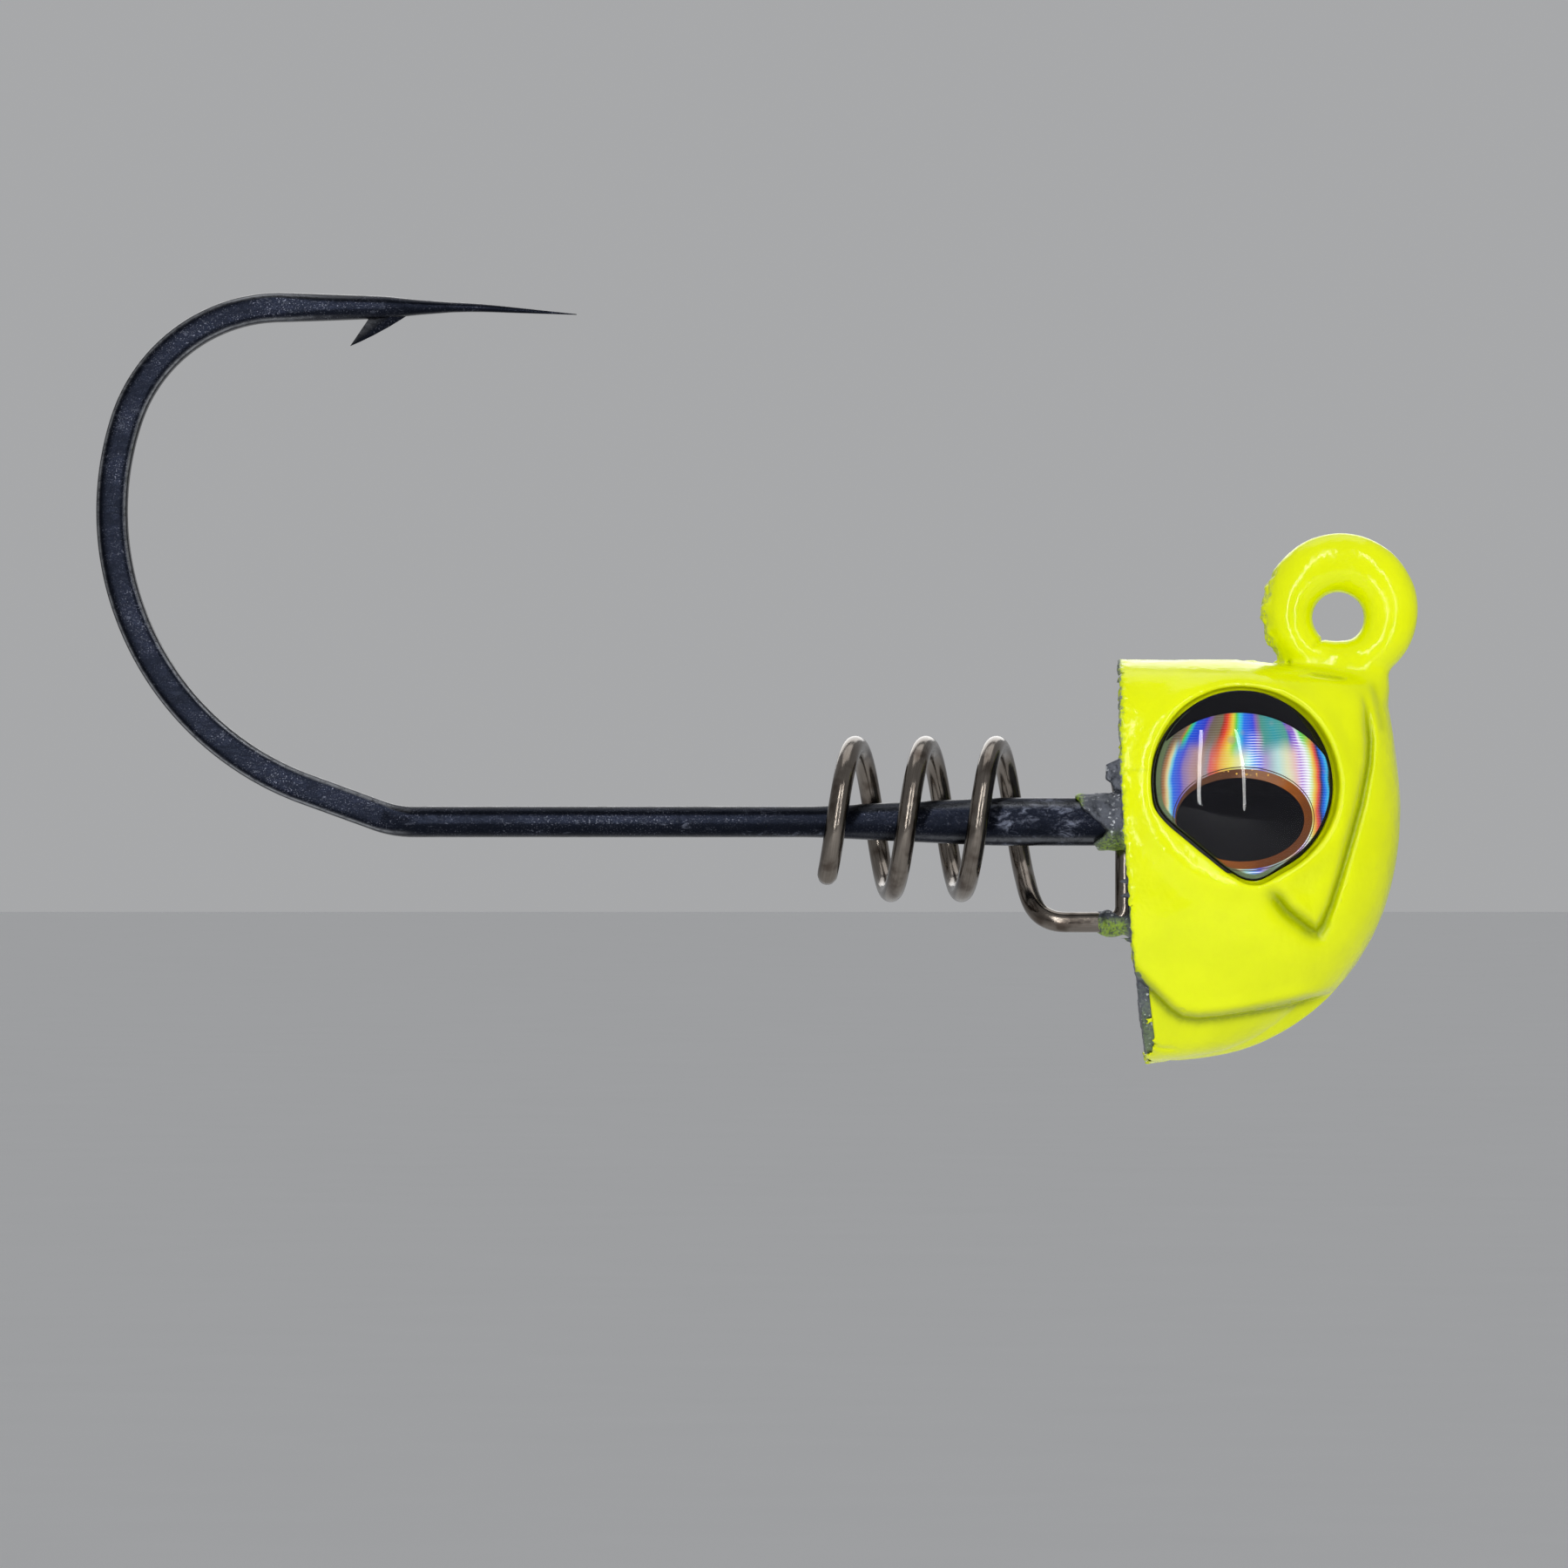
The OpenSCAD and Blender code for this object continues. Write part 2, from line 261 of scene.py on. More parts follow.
# ---- relief moulded into the head ----

CHEEK_LINE = [(-2.9, -10.4), (-2.1, -11.4), (-1.15, -12.15), (-0.9, -12.25), (-0.65, -11.95),
              (-0.35, -11.2), (0.0, -10.1), (0.38, -8.8), (0.82, -7.25), (1.13, -5.7),
              (1.18, -4.8), (1.05, -3.5), (0.8, -2.6)]
VALLEY_END = 2.9  # how far along it the cheek line is a wide valley
JAW_LINE = [(-8.5, -13.25), (-7.8, -13.9), (-6.5, -15.2), (-6.1, -15.45), (-5.5, -15.52),
            (-4.6, -15.45), (-3.0, -15.2), (-1.65, -14.93), (-0.7, -14.7), (0.3, -14.35)]
CROWN_CREASE = [(-1.2, -2.2), (0.35, -2.42)]
NOSE_NOTCH = [(1.3, -2.4), (1.5, -3.3), (1.75, -4.6)]
BACK_SCORE = [(-8.6, -5.98), (-7.3, -5.94)]
CORNER_WRINKLES = [[(-8.0, -16.35), (-6.9, -16.75), (-6.2, -16.8)],
                   [(-8.0, -16.75), (-7.0, -17.0)], [(-8.1, -15.95), (-7.3, -16.3)]]


def relief(p):
    """Height of the moulded relief over the plain form, and how far down a groove a point is.

    The lines are drawn in side view and are the same on both sides.
    """
    x, y, z = p.T
    off_middle = step(0.25, 0.9, np.abs(y))
    # Cheek plate: a soft valley, with the plate's edge standing a little over the nose strip
    d, at, side, run = along_line(x, z, CHEEK_LINE)
    fade = step(-0.1, 0.9, at) * step(0, 2.2, run - at)
    valley = step(VALLEY_END + 0.8, VALLEY_END - 0.4, at)
    # This groove mask also sets how much painted shade darkens the coat's colour along each line
    groove_and_shade = fade * bump(d, 0.17 + 0.13 * valley)
    h = -(0.24 + 0.04 * valley) * groove_and_shade - fade * 0.08 * bump(d, 0.6)
    h = h + fade * step(0, 0.12, side * d) * 0.14 * bump(d - 0.35, 0.45)
    # Jaw: everything below the line is stepped in, and swells out again towards the chin
    d, at, side, run = along_line(x, z, JAW_LINE)
    fade = step(0, 1.9, run - at)
    h = h - fade * (0.52 * bump(d, 1.3) * step(-0.02, 0.16, -side * d) + 0.14 * bump(d, 0.14))
    groove_and_shade = np.maximum(groove_and_shade, fade * bump(d + 0.08 * side, 0.22))
    h = h + fade * 0.07 * bump(d - 0.3, 0.3) * (side > 0)
    for line, depth, width in ((CROWN_CREASE, 0.08, 0.08), (NOSE_NOTCH, 0.04, 0.16),
                               (BACK_SCORE, 0.03, 0.06)):
        d, at, side, run = along_line(x, z, line)
        cut = bump(d, width) * step(-0.05, 0.35, at) * step(-0.05, 0.35, run - at)
        h = h - depth * cut
        groove_and_shade = np.maximum(groove_and_shade, depth * 7 * cut)
    for line in CORNER_WRINKLES:
        d, at, side, run = along_line(x, z, line)
        h = h - 0.07 * bump(d, 0.09) * step(0, 0.5, run - at)
    # The rim round each eye swells
    for eye in EYES:
        q = to_eye(p, eye)
        r = np.hypot(q[:, 0], q[:, 1])
        h = h + 0.16 * bump(r - SOCKET_R - 0.3, 0.55) * (q[:, 2] > -3)
    return h * off_middle, groove_and_shade * off_middle


# ---- meshing ----

def sample_grid(field, lo, hi, pitch):
    """Values of a distance field on a grid. Far from the surface a coarse value is enough."""
    skip = 4
    coarse_n = np.ceil((hi - lo) / (pitch * skip)).astype(int) + 2
    axes = [lo[i] + pitch * skip * np.arange(coarse_n[i]) for i in range(3)]
    grid = np.stack(np.meshgrid(*axes, indexing="ij"), -1).reshape(-1, 3)
    values = field(grid).reshape(coarse_n)
    for axis in range(3):
        values = np.repeat(values, skip, axis)
    near = np.argwhere(np.abs(values) < 1.6 * pitch * skip)
    values[tuple(near.T)] = field(lo + pitch * near)
    return values


def surface_net(values, lo, pitch):
    """Quads round the zero level of a grid of signed distances (naive surface nets)."""
    inside = values < 0
    n = np.array(values.shape) - 1

    def shifted(a, c):
        return a[c[0]:c[0] + n[0], c[1]:c[1] + n[1], c[2]:c[2] + n[2]]
    count = sum(shifted(inside, c).astype(np.int8) for c in CORNERS)
    cells = np.argwhere((count > 0) & (count < 8))
    number = np.full(tuple(n), -1, dtype=np.int64)
    number[tuple(cells.T)] = np.arange(len(cells))
    corner_values = np.stack([values[tuple((cells + c).T)] for c in CORNERS], 1)
    total = np.zeros((len(cells), 3))
    hits = np.zeros(len(cells))
    # The cell's surface point is the middle of where its twelve edges are crossed
    for a, b in [(a, a + s) for a in range(8) for s in (1, 2, 4) if not a & s]:
        va, vb = corner_values[:, a], corner_values[:, b]
        cross = (va < 0) != (vb < 0)
        t = np.where(cross, va / np.where(cross, va - vb, 1), 0)[:, None]
        total += (np.array(CORNERS[a]) * (1 - t) + np.array(CORNERS[b]) * t) * cross[:, None]
        hits += cross
    points = lo + pitch * (cells + total / hits[:, None])
    quads = []
    for axis in range(3):
        u, v = (axis + 1) % 3, (axis + 2) % 3
        edges = np.argwhere(np.diff(inside, axis=axis))
        edges = edges[(edges[:, u] > 0) & (edges[:, v] > 0)
                      & (edges[:, u] < n[u]) & (edges[:, v] < n[v])]
        du, dv = np.eye(3, dtype=int)[[u, v]]
        ring = [number[tuple((edges - s).T)] for s in (du + dv, dv, 0 * du, du)]
        quad = np.stack(ring, 1)
        leaving = inside[tuple(edges.T)]
        quad[~leaving] = quad[~leaving][:, ::-1]
        quads.append(quad[(quad >= 0).all(1)])
    return points, np.concatenate(quads)


def settle(points, field):
    """Moves points onto the zero level of the field, in two rounds."""
    e = 0.01
    for _ in range(2):
        d = field(points)
        g = np.stack([(field(points + e * np.eye(3)[i]) - d) / e for i in range(3)], 1)
        g2 = (g * g).sum(1)
        move = -(d / np.maximum(g2, 0.2))[:, None] * g
        length = np.linalg.norm(move, axis=1, keepdims=True)
        points = points + move * np.minimum(1, 0.06 / np.maximum(length, 1e-9))
    return points


def add_object(name, data):
    obj = bpy.data.objects.new(name, data)
    bpy.context.collection.objects.link(obj)
    return obj


def new_object(name, points, faces, smooth=True):
    """A mesh object in metres from points in millimetres."""
    mesh = bpy.data.meshes.new(name)
    mesh.from_pydata((np.asarray(points) * MM).tolist(), [], [list(map(int, f)) for f in faces])
    mesh.validate()
    mesh.polygons.foreach_set("use_smooth", [smooth] * len(mesh.polygons))
    mesh.update()
    return add_object(name, mesh)


def row_quads(rows, count, first=0, tube=False, strip=False):
    """Quads between neighbouring rows of `count` points, numbered from `first` on.

    A tube joins its last row to its first as well. A strip's rows are open, not rings.
    """
    quads = []
    for i in range(rows if tube else rows - 1):
        a, b = first + i * count, first + (i + 1) % rows * count
        for k in range(count - 1 if strip else count):
            k1 = (k + 1) % count
            quads.append([a + k, b + k, b + k1, a + k1])
    return quads


def field_object(name, field, lo, hi, pitch):
    points, quads = surface_net(sample_grid(field, lo, hi, pitch), lo, pitch)
    return new_object(name, settle(points, field), quads)


def set_attribute(obj, name, values):
    layer = obj.data.attributes.new(name, "FLOAT", "POINT")
    layer.data.foreach_set("value", np.asarray(values, dtype=np.float32))


def mesh_points(obj):
    flat = np.empty(3 * len(obj.data.vertices))
    obj.data.vertices.foreach_get("co", flat)
    return flat.reshape(-1, 3) / MM


# ---- powder coat ----

RING_CENTRE = np.array([0.1, 0.0, 0.29])
RING_R, RING_TUBE = 2.0, 0.99
HOLE_R = 0.97


def ring_distance(p):
    """The coated ring. Its paint is thicker above the hole, which sits low in it."""
    q = p - RING_CENTRE
    r = np.hypot(q[:, 0], q[:, 2])
    angle = np.arctan2(q[:, 2], q[:, 0])
    off = math.hypot(RING_CENTRE[0], RING_CENTRE[2])
    away = angle - math.atan2(RING_CENTRE[2], RING_CENTRE[0])
    inner = -off * np.cos(away) + np.sqrt(HOLE_R ** 2 - (off * np.sin(away)) ** 2)
    middle, half = (RING_R + RING_TUBE + inner) / 2, (RING_R + RING_TUBE - inner) / 2
    k0 = np.sqrt(((r - middle) / half) ** 2 + (q[:, 1] / RING_TUBE) ** 2 + 1e-9)
    k1 = np.sqrt(((r - middle) / half ** 2) ** 2 + (q[:, 1] / RING_TUBE ** 2) ** 2 + 1e-9)
    tube = k0 * (k0 - 1) / k1
    # The foot of the ring runs out into the crown, fuller towards the nose
    foot = segment_distance(p, (0.1, 0, -1.9), (1.0, 0, -2.6))[0] - 0.92
    return smooth_min(tube, foot, 0.5)


def segment_distance(p, a, b):
    """Distance to the segment from a to b, and the share of it before the nearest point."""
    a, b = np.array(a, float), np.array(b, float)
    t = np.clip(((p - a) @ (b - a)) / ((b - a) @ (b - a)), 0, 1)
    return np.linalg.norm(p - a - t[:, None] * (b - a), axis=1), t


def scab_mask(p):
    """Where the ring's outer edge is rough: the seam on the side that faces back."""
    q = p - RING_CENTRE
    angle = np.degrees(np.arctan2(q[:, 2], q[:, 0])) % 360
    r = np.hypot(q[:, 0], q[:, 2])
    seam = step(0.62, 0.35, np.abs(q[:, 1]) + 0.2 * noise(p, 0.3, 15))
    outer = step(2.35, 2.7, r) * step(3.7, 3.2, r)
    return seam * outer * step(140, 156, angle) * step(0, 20, 228 - angle)


def coat_distance(p):
    x, y, z = p.T
    wall = head_wall(p, 0)
    # Powder wraps round the edge of the back face as a ragged lip, widest at the crown
    lip = 0.16 + 0.14 * step(-9, -2, z) + 0.14 * noise(p, 0.5, 11) + 0.08 * noise(p, 0.2, 12)
    proud = COAT_LIP + 0.08 * step(-11, -4, z)
    back = back_at(z) - proud + (0.45 + proud) * step(lip - 0.05, lip + 0.12, -wall)
    body = smooth_max(wall - relief(p)[0], back - x, 0.12)
    ring = ring_distance(p)
    ring = ring - scab_mask(p) * (0.04 + 0.07 * noise(p, 0.3, 5) + 0.05 * noise(p, 0.13, 6))
    d = smooth_min(body, ring, 0.55)
    # Line hole: round at the top, with a floor of paint at the bottom
    hole = np.hypot(x, z) - HOLE_R - 0.02 * noise(p, 0.5, 9)
    hole = smooth_max(hole, -0.88 - z + 0.03 * noise(p, 0.2, 10), 0.12)
    d = smooth_max(d, -hole, 0.12)
    # Crease where the ring's wire closes on the stem
    crease, at, _, run = along_line(x, z, [(-0.55, -0.8), (-1.0, -1.15)])
    d = d + 0.1 * bump(crease, 0.06) * step(-0.1, 0.1, run - at)
    # Pit at the foot of the neck
    pit = np.hypot(x + 1.93, z + 1.73)
    d = d + 0.12 * bump(pit, 0.08)
    # Roughness left along the crown beside the neck
    beside = bump(x + 3.1, 0.8) * bump(np.abs(y), 0.6) * step(-2.2, -1.7, z)
    d = d - beside * (0.04 + 0.09 * noise(p, 0.22, 3))
    d = smooth_max(d, -socket_distance(p), 0.16)
    lumps = 0.018 * noise(p, 1.7, 1) + 0.008 * noise(p, 0.6, 2)
    to_back = x - back_at(z)
    ragged = step(0.35, 0.0, to_back) * (0.04 * noise(p, 0.25, 7) + 0.035 * noise(p, 0.13, 8))
    return d + lumps + ragged


def make_coat():
    lo = np.minimum(HEAD_LO, RING_CENTRE - RING_R - RING_TUBE) - 0.4
    hi = np.maximum(HEAD_HI, RING_CENTRE + RING_R + RING_TUBE) + 0.4
    lo[1], hi[1] = -HALF_WIDTH - 0.5, HALF_WIDTH + 0.5
    coat = field_object("powder_coat", coat_distance, lo, hi, 0.085)
    p = mesh_points(coat)
    set_attribute(coat, "back_edge_mm", p[:, 0] - back_at(p[:, 2]))
    # Painted shade: how far down a groove each point is, for darkening the coat's colour there
    set_attribute(coat, "groove_and_shade", relief(p)[1])
    set_attribute(coat, "scab", scab_mask(p))
    return coat


# ---- raw lead behind the coat ----

SHANK_Z = -7.96
LEG_Z = -11.88


def lead_distance(p):
    """The raw back of the casting, with what ran out along the wires."""
    x, y, z = p.T
    # The back face sank a little in the middle as the lead cooled
    sunk = (0.08 + 0.09 * step(-12, -4, z)) * np.clip(1 - (y / half_width_at(z)) ** 2, 0, 1)
    body = smooth_max(head_wall(p, COAT_T) - relief(p)[0], back_at(z) + sunk - x, 0.14)
    body = smooth_max(body, x - back_at(z) - 0.7, 0.1)
    body = body + 0.04 * noise(p, 1.3, 21) * step(0.5, 0.2, x - back_at(z))
    around = np.hypot(y, z - SHANK_Z)
    collar = around - 1.13 - 0.06 * noise(p, 0.5, 22) - 0.03 * noise(p, 0.2, 31)
    reach = np.interp(-z, COLLAR_HEIGHTS, COLLAR_ENDS) + 0.1 * noise(p, 0.35, 23)
    collar = smooth_max(collar, reach - x, 0.12)
    collar = smooth_max(collar, x + 7.9, 0.1)
    leg = np.hypot(y, z - LEG_Z + 0.05) - 0.5 - 0.06 * noise(p, 0.3, 26)
    leg = smooth_max(leg, -9.33 + 0.12 * noise(p, 0.25, 27) - x, 0.1)
    leg = smooth_max(leg, x + 7.9, 0.1)
    # A thin fin of flash stands over the keeper's upper end
    thin = np.abs(y - 0.15) - 0.2 - 0.06 * noise(p, 0.3, 28)
    fin = smooth_max(fin_distance(x, z), thin, 0.12)
    d = smooth_min(body, collar, 0.35)
    d = smooth_min(d, leg, 0.3)
    d = smooth_min(d, fin, 0.2)
    for root, tip in SPIKES:
        away, t = segment_distance(p, root, tip)
        d = smooth_min(d, away - 0.13 * (1 - 0.75 * t), 0.12)
    out = step(0.35, 0.05, x - back_at(z))
    return d + out * (0.02 * noise(p, 0.3, 29) + 0.018 * noise(p, 0.15, 30))


# How far back the lead ran along the shank, by height below the origin
COLLAR_HEIGHTS = [6.7, 7.0, 7.4, 7.9, 8.3, 8.55, 8.8, 9.1]
COLLAR_ENDS = [-10.12, -10.2, -10.0, -9.4, -9.0, -9.2, -9.5, -9.4]
FIN = [(-8.2, -6.75), (-8.75, -6.72), (-8.85, -6.45), (-9.08, -6.3), (-9.05, -5.75), (-8.6, -5.5),
       (-8.2, -5.45)]


def fin_distance(x, z):
    """Distance in side view to the fin's outline, negative inside."""
    loop = FIN + FIN[:1]
    d = along_line(x, z, loop)[0]
    inside = np.zeros(x.shape, bool)
    for (x0, z0), (x1, z1) in zip(loop[:-1], loop[1:]):
        inside ^= ((z0 > z) != (z1 > z)) & (x < (x1 - x0) * (z - z0) / (z1 - z0 + 1e-12) + x0)
    return np.where(inside, -d, d)


# Slivers of flash on the back face, from root to tip
SPIKES = [((-8.0, -2.9, -10.2), (-8.62, -3.0, -10.3)), ((-8.0, -2.6, -10.75), (-8.5, -2.7, -10.85)),
          ((-7.8, -1.4, -12.6), (-8.5, -1.5, -12.5)), ((-8.2, 2.2, -7.2), (-8.6, 2.3, -7.28))]


def make_lead():
    lo = LEAD_LO - (0.5, 0.4, 0.4)
    hi = np.array([BACK_X + BACK_LEAN + 1.2, *(LEAD_HI[1:] + 0.4)])
    lead = field_object("raw_lead", lead_distance, lo, hi, 0.07)
    p = mesh_points(lead)
    x, y, z = p.T
    rim_d = np.where(x < back_at(z) - 0.12, 9.0, -head_wall(p, COAT_T))
    set_attribute(lead, "rim_mm", rim_d)
    under = step(-8.1, -9.0, z) * step(-9.7, -9.0, x) * (z > -9.4)
    tip = step(-9.85, -10.1, x) * step(-7.6, -7.2, z)
    leg = step(-11.6, -12.0, z) * (z > -12.8) * step(-8.1, -8.4, x)
    near_wires = step(1.9, 1.1, np.abs(y) + 0.4 * noise(p, 0.6, 24))
    set_attribute(lead, "overspray", np.clip(under + tip + leg, 0, 1) * near_wires)
    return lead


# ---- wires ----

def sweep(name, path, sizes, sides, planar):
    """A tube along a path. Each size is half height, half width and the outline's power.

    A power of 1 is an ellipse, and a smaller one is squarer. A planar path lies in the X-Z plane.
    """
    path, sizes = np.array(path, float), np.array(sizes, float)
    tangent = np.gradient(path, axis=0)
    tangent /= np.linalg.norm(tangent, axis=1, keepdims=True)
    if planar:
        normal = np.stack([-tangent[:, 2], 0 * tangent[:, 0], tangent[:, 0]], 1)
    else:
        normal = np.empty_like(path)
        v = np.array([1.0, 0.0, 0.0])
        for i, t in enumerate(tangent):
            v = v - (v @ t) * t
            v /= np.linalg.norm(v)
            normal[i] = v
    side = np.cross(tangent, normal)
    angle = 2 * math.pi * (np.arange(sides) + 0.5) / sides
    c, s = np.cos(angle), np.sin(angle)
    e = sizes[:, 2:3]
    up = sizes[:, 0:1] * np.sign(c) * np.abs(c) ** e
    out = sizes[:, 1:2] * np.sign(s) * np.abs(s) ** e
    points = path[:, None] + up[..., None] * normal[:, None] + out[..., None] * side[:, None]
    n = len(path)
    ends = [list(range(sides)), list(range(n * sides - 1, (n - 1) * sides - 1, -1))]
    obj = new_object(name, points.reshape(-1, 3), row_quads(n, sides) + ends)
    run = np.concatenate([[0], np.cumsum(np.linalg.norm(np.diff(path, axis=0), axis=1))])
    set_attribute(obj, "along_mm", np.repeat(run, sides))
    set_attribute(obj, "round_x", np.tile(c, n))
    set_attribute(obj, "round_y", np.tile(s, n))
    flat = np.clip(1 - e, 0, 1) / (1 - FORGED[2])
    set_attribute(obj, "corner", (flat * bump(np.abs(c * s) * 2 - 1, 0.06)).ravel())
    return obj


def line(a, b, n):
    t = np.linspace(0, 1, n, endpoint=False)[:, None]
    return np.array(a) * (1 - t) + np.array(b) * t


def arc(centre, r, a0, a1, n):
    a = np.radians(np.linspace(a0, a1, n, endpoint=False))
    return np.stack([centre[0] + r * np.cos(a), 0 * a, centre[1] + r * np.sin(a)], 1)


def bezier(a, da, b, db, n):
    t = np.linspace(0, 1, n, endpoint=False)[:, None]
    s = 1 - t
    a, da, b, db = (np.array(v, float) for v in (a, da, b, db))
    return s ** 3 * a + 3 * s * s * t * (a + da) + 3 * s * t * t * (b - db) + t ** 3 * b


# Sections of the hook: half height, half width and the outline's power
ROUND = (0.61, 0.61, 1)
PRESSED = (0.94, 0.55, 0.8)
FORGED = (0.61, 0.46, 0.42)
BEND_END = (0.58, 0.52, 0.6)
NEEDLE = (0.015, 0.015, 1)
BEND_CENTRE = (-36.33, 4.17)
BEND_R, POINT_BEND_R = 11.56, 6.33
MEET = 161.8  # degrees, where the two bends meet
RAMP = 20  # degrees that the wire turns up where the shank ends
BLEND_R = 4
TIP = (-29.72, 11.85)
BARB_TIP = (-38.59, 10.61)


def on_circle(centre, r, degrees):
    a = math.radians(degrees)
    return centre[0] + r * math.cos(a), centre[1] + r * math.sin(a)


def hook_path():
    """Centre line of the hook from its eye to the point, with the section at each step."""
    point_centre = on_circle(BEND_CENTRE, BEND_R - POINT_BEND_R, MEET)
    ramp_top = on_circle(BEND_CENTRE, BEND_R, 270 - RAMP)
    shank_end = ramp_top[0] + (ramp_top[1] - SHANK_Z) / math.tan(math.radians(RAMP))
    blend_x = shank_end + BLEND_R * math.tan(math.radians(RAMP / 2))
    top = (point_centre[0], 0, point_centre[1] + POINT_BEND_R)

    def past(d, drop=0):
        return (top[0] + d, 0, top[2] - drop)

    def shank(x):
        return (x, 0, SHANK_Z)
    # Each stretch of the path, with the section that it ends in
    stretches = [
        (arc((0.1, 0.29), RING_R, -50, 255, 60), ROUND),
        (bezier((-0.42, 0, -1.64), (0.5, 0, -0.13), (0.1, 0, -3), (0, 0, -0.5), 10), ROUND),
        (line((0.1, 0, -3), (0.1, 0, -6.16), 6), ROUND),
        (arc((-1.7, -6.16), 1.8, 0, -90, 20), ROUND),
        (line(shank(-1.7), shank(-4), 6), ROUND),
        (line(shank(-4), shank(-6.5), 8), PRESSED),
        (line(shank(-6.5), shank(-13.4), 20), PRESSED),
        (line(shank(-13.4), shank(-20.5), 36), ROUND),
        (line(shank(-20.5), shank(blend_x), 40), ROUND),
        (arc((blend_x, SHANK_Z + BLEND_R), BLEND_R, 270, 270 - RAMP, 16), FORGED),
        (arc(BEND_CENTRE, BEND_R, 270 - RAMP, MEET, 130), FORGED),
        (arc(point_centre, POINT_BEND_R, MEET, 90, 60), BEND_END),
        (line(past(0), past(1.7), 10), (0.53, 0.52, 0.9)),
        (line(past(1.7), past(4.1), 14), (0.44, 0.46, 1)),
        (line(past(4.1), past(5.4), 10), (0.3, 0.36, 1)),
        (line(past(5.4), past(6.7), 10), (0.2, 0.26, 1)),
        (bezier(past(6.7), (0.8, 0, 0), past(9, 0.1), (0.8, 0, -0.06), 12), (0.12, 0.14, 1)),
        (line(past(9, 0.1), (TIP[0], 0, TIP[1]), 14), NEEDLE),
        (np.array([[TIP[0], 0, TIP[1]]]), NEEDLE)]
    path, sizes = [], []
    section = ROUND
    for points, ends_in in stretches:
        t = np.linspace(0, 1, len(points), endpoint=False)[:, None]
        path.append(points)
        sizes.append(np.array(section) * (1 - t) + np.array(ends_in) * t)
        section = ends_in
    return np.concatenate(path), np.concatenate(sizes)


def make_hook():
    path, sizes = hook_path()
    kernel = np.array([1, 2, 3, 2, 1]) / 9
    padded = np.pad(sizes, ((2, 2), (0, 0)), "edge")
    sizes = np.stack([np.convolve(padded[:, i], kernel, "valid") for i in range(3)], 1)
    return sweep("hook", path, sizes, 48, True)


def make_barb():
    """The barb is a sliver cut up from the underside of the point, thin at its tip."""
    points = []
    shares = (0.015, 0.2, 0.45, 0.75, 1.0, 1.15)
    for t in shares:
        front = np.array(BARB_TIP) + (0.78 * t, 1.15 * t)
        rear = np.array(BARB_TIP) + (2.1 * t, 1.1 * t - 0.25 * t * (1 - t))
        ridge = front * 0.4 + rear * 0.6
        half = 0.02 + 0.18 * t
        points += [(front[0], 0, front[1]), (ridge[0], -half, ridge[1]), (rear[0], 0, rear[1]),
                   (ridge[0], half, ridge[1])]
    faces = [quad[::-1] for quad in row_quads(len(shares), 4)]
    last = 4 * (len(shares) - 1)
    faces += [[3, 2, 1, 0], [last, last + 1, last + 2, last + 3]]
    barb = new_object("hook_barb", points, faces, smooth=False)
    bevel = barb.modifiers.new("edge", "BEVEL")
    bevel.width, bevel.segments = 0.015 * MM, 2
    set_attribute(barb, "corner", np.tile([0.4, 0.0, 0.0, 0.0], len(shares)))
    return barb


COIL_R, COIL_Z, COIL_X = 2.85, SHANK_Z + 0.11, -20.2
PITCH, KEEPER_R = 2.75, 0.4
RISE_X = -8.3


def coil_point(degrees):
    a = np.radians(degrees)
    return np.stack([COIL_X + PITCH * degrees / 360, -COIL_R * np.sin(a),
                     COIL_Z - COIL_R * np.cos(a)], -1)


def make_keeper():
    first, last = 36, 1044
    turns = coil_point(np.arange(first, last, 4.0))
    end = coil_point(np.array(float(last)))
    leave = end - coil_point(np.array(last - 1.0))
    leave /= np.linalg.norm(leave)
    corner = arc((RISE_X - 0.6, LEG_Z + 0.6), 0.6, -90, 0, 10)
    top = (RISE_X, 0, SHANK_Z - 1.75)
    beside = (RISE_X, 1.02, SHANK_Z)
    path = np.concatenate([
        turns, bezier(end, 1.3 * leave, (-10.6, 0, LEG_Z), (1.3, 0, 0), 26),
        line((-10.6, 0, LEG_Z), (RISE_X - 0.6, 0, LEG_Z), 8), corner,
        line((RISE_X, 0, LEG_Z + 0.6), top, 6), bezier(top, (0, 0, 0.8), beside, (0, 0, 0.5), 12),
        bezier(beside, (0, 0, 0.5), (RISE_X - 0.2, 0.35, SHANK_Z + 1.75), (-0.1, -0.3, 0.5), 12)])
    radius = np.full(len(path), KEEPER_R)
    radius[0], radius[1] = KEEPER_R * 0.8, KEEPER_R * 0.97
    sizes = np.stack([radius, radius, np.ones(len(path))], 1)
    return sweep("keeper_spring", path, sizes, 32, False)


# ---- eyes ----

TURN = np.radians(np.arange(0, 360, 3.0))
FOIL = (-0.2, -1.8, 4.45)  # centre and radius of the circle that the foil is cut to
IRIS = (-0.07, -1.41, 2.71, 1.91)  # centre along and up, half width, half height
PUPIL = (-0.22, -1.42, 2.52, 1.6)
PRINT_FOOT = -0.01  # the underside of each print, just inside the foil


def plain_circle(share):
    return EYE_R * share * np.stack([np.cos(TURN), np.sin(TURN)], 1)


def outline(side, share):
    return plain_circle(share) * rim(TURN, side)[:, None]


def ellipse(side, shape, extra=0.0, share=1.0):
    """An ellipse of print, kept inside the eye's outline."""
    u, v, ru, rv = shape
    ring = np.stack([u + (ru + extra) * share * np.cos(TURN),
                     v + (rv + extra) * share * np.sin(TURN)], 1)
    r = np.hypot(ring[:, 0], ring[:, 1])
    most = EYE_R * 0.965 * rim(np.arctan2(ring[:, 1], ring[:, 0]), side)
    return ring * np.minimum(1, most / r)[:, None]


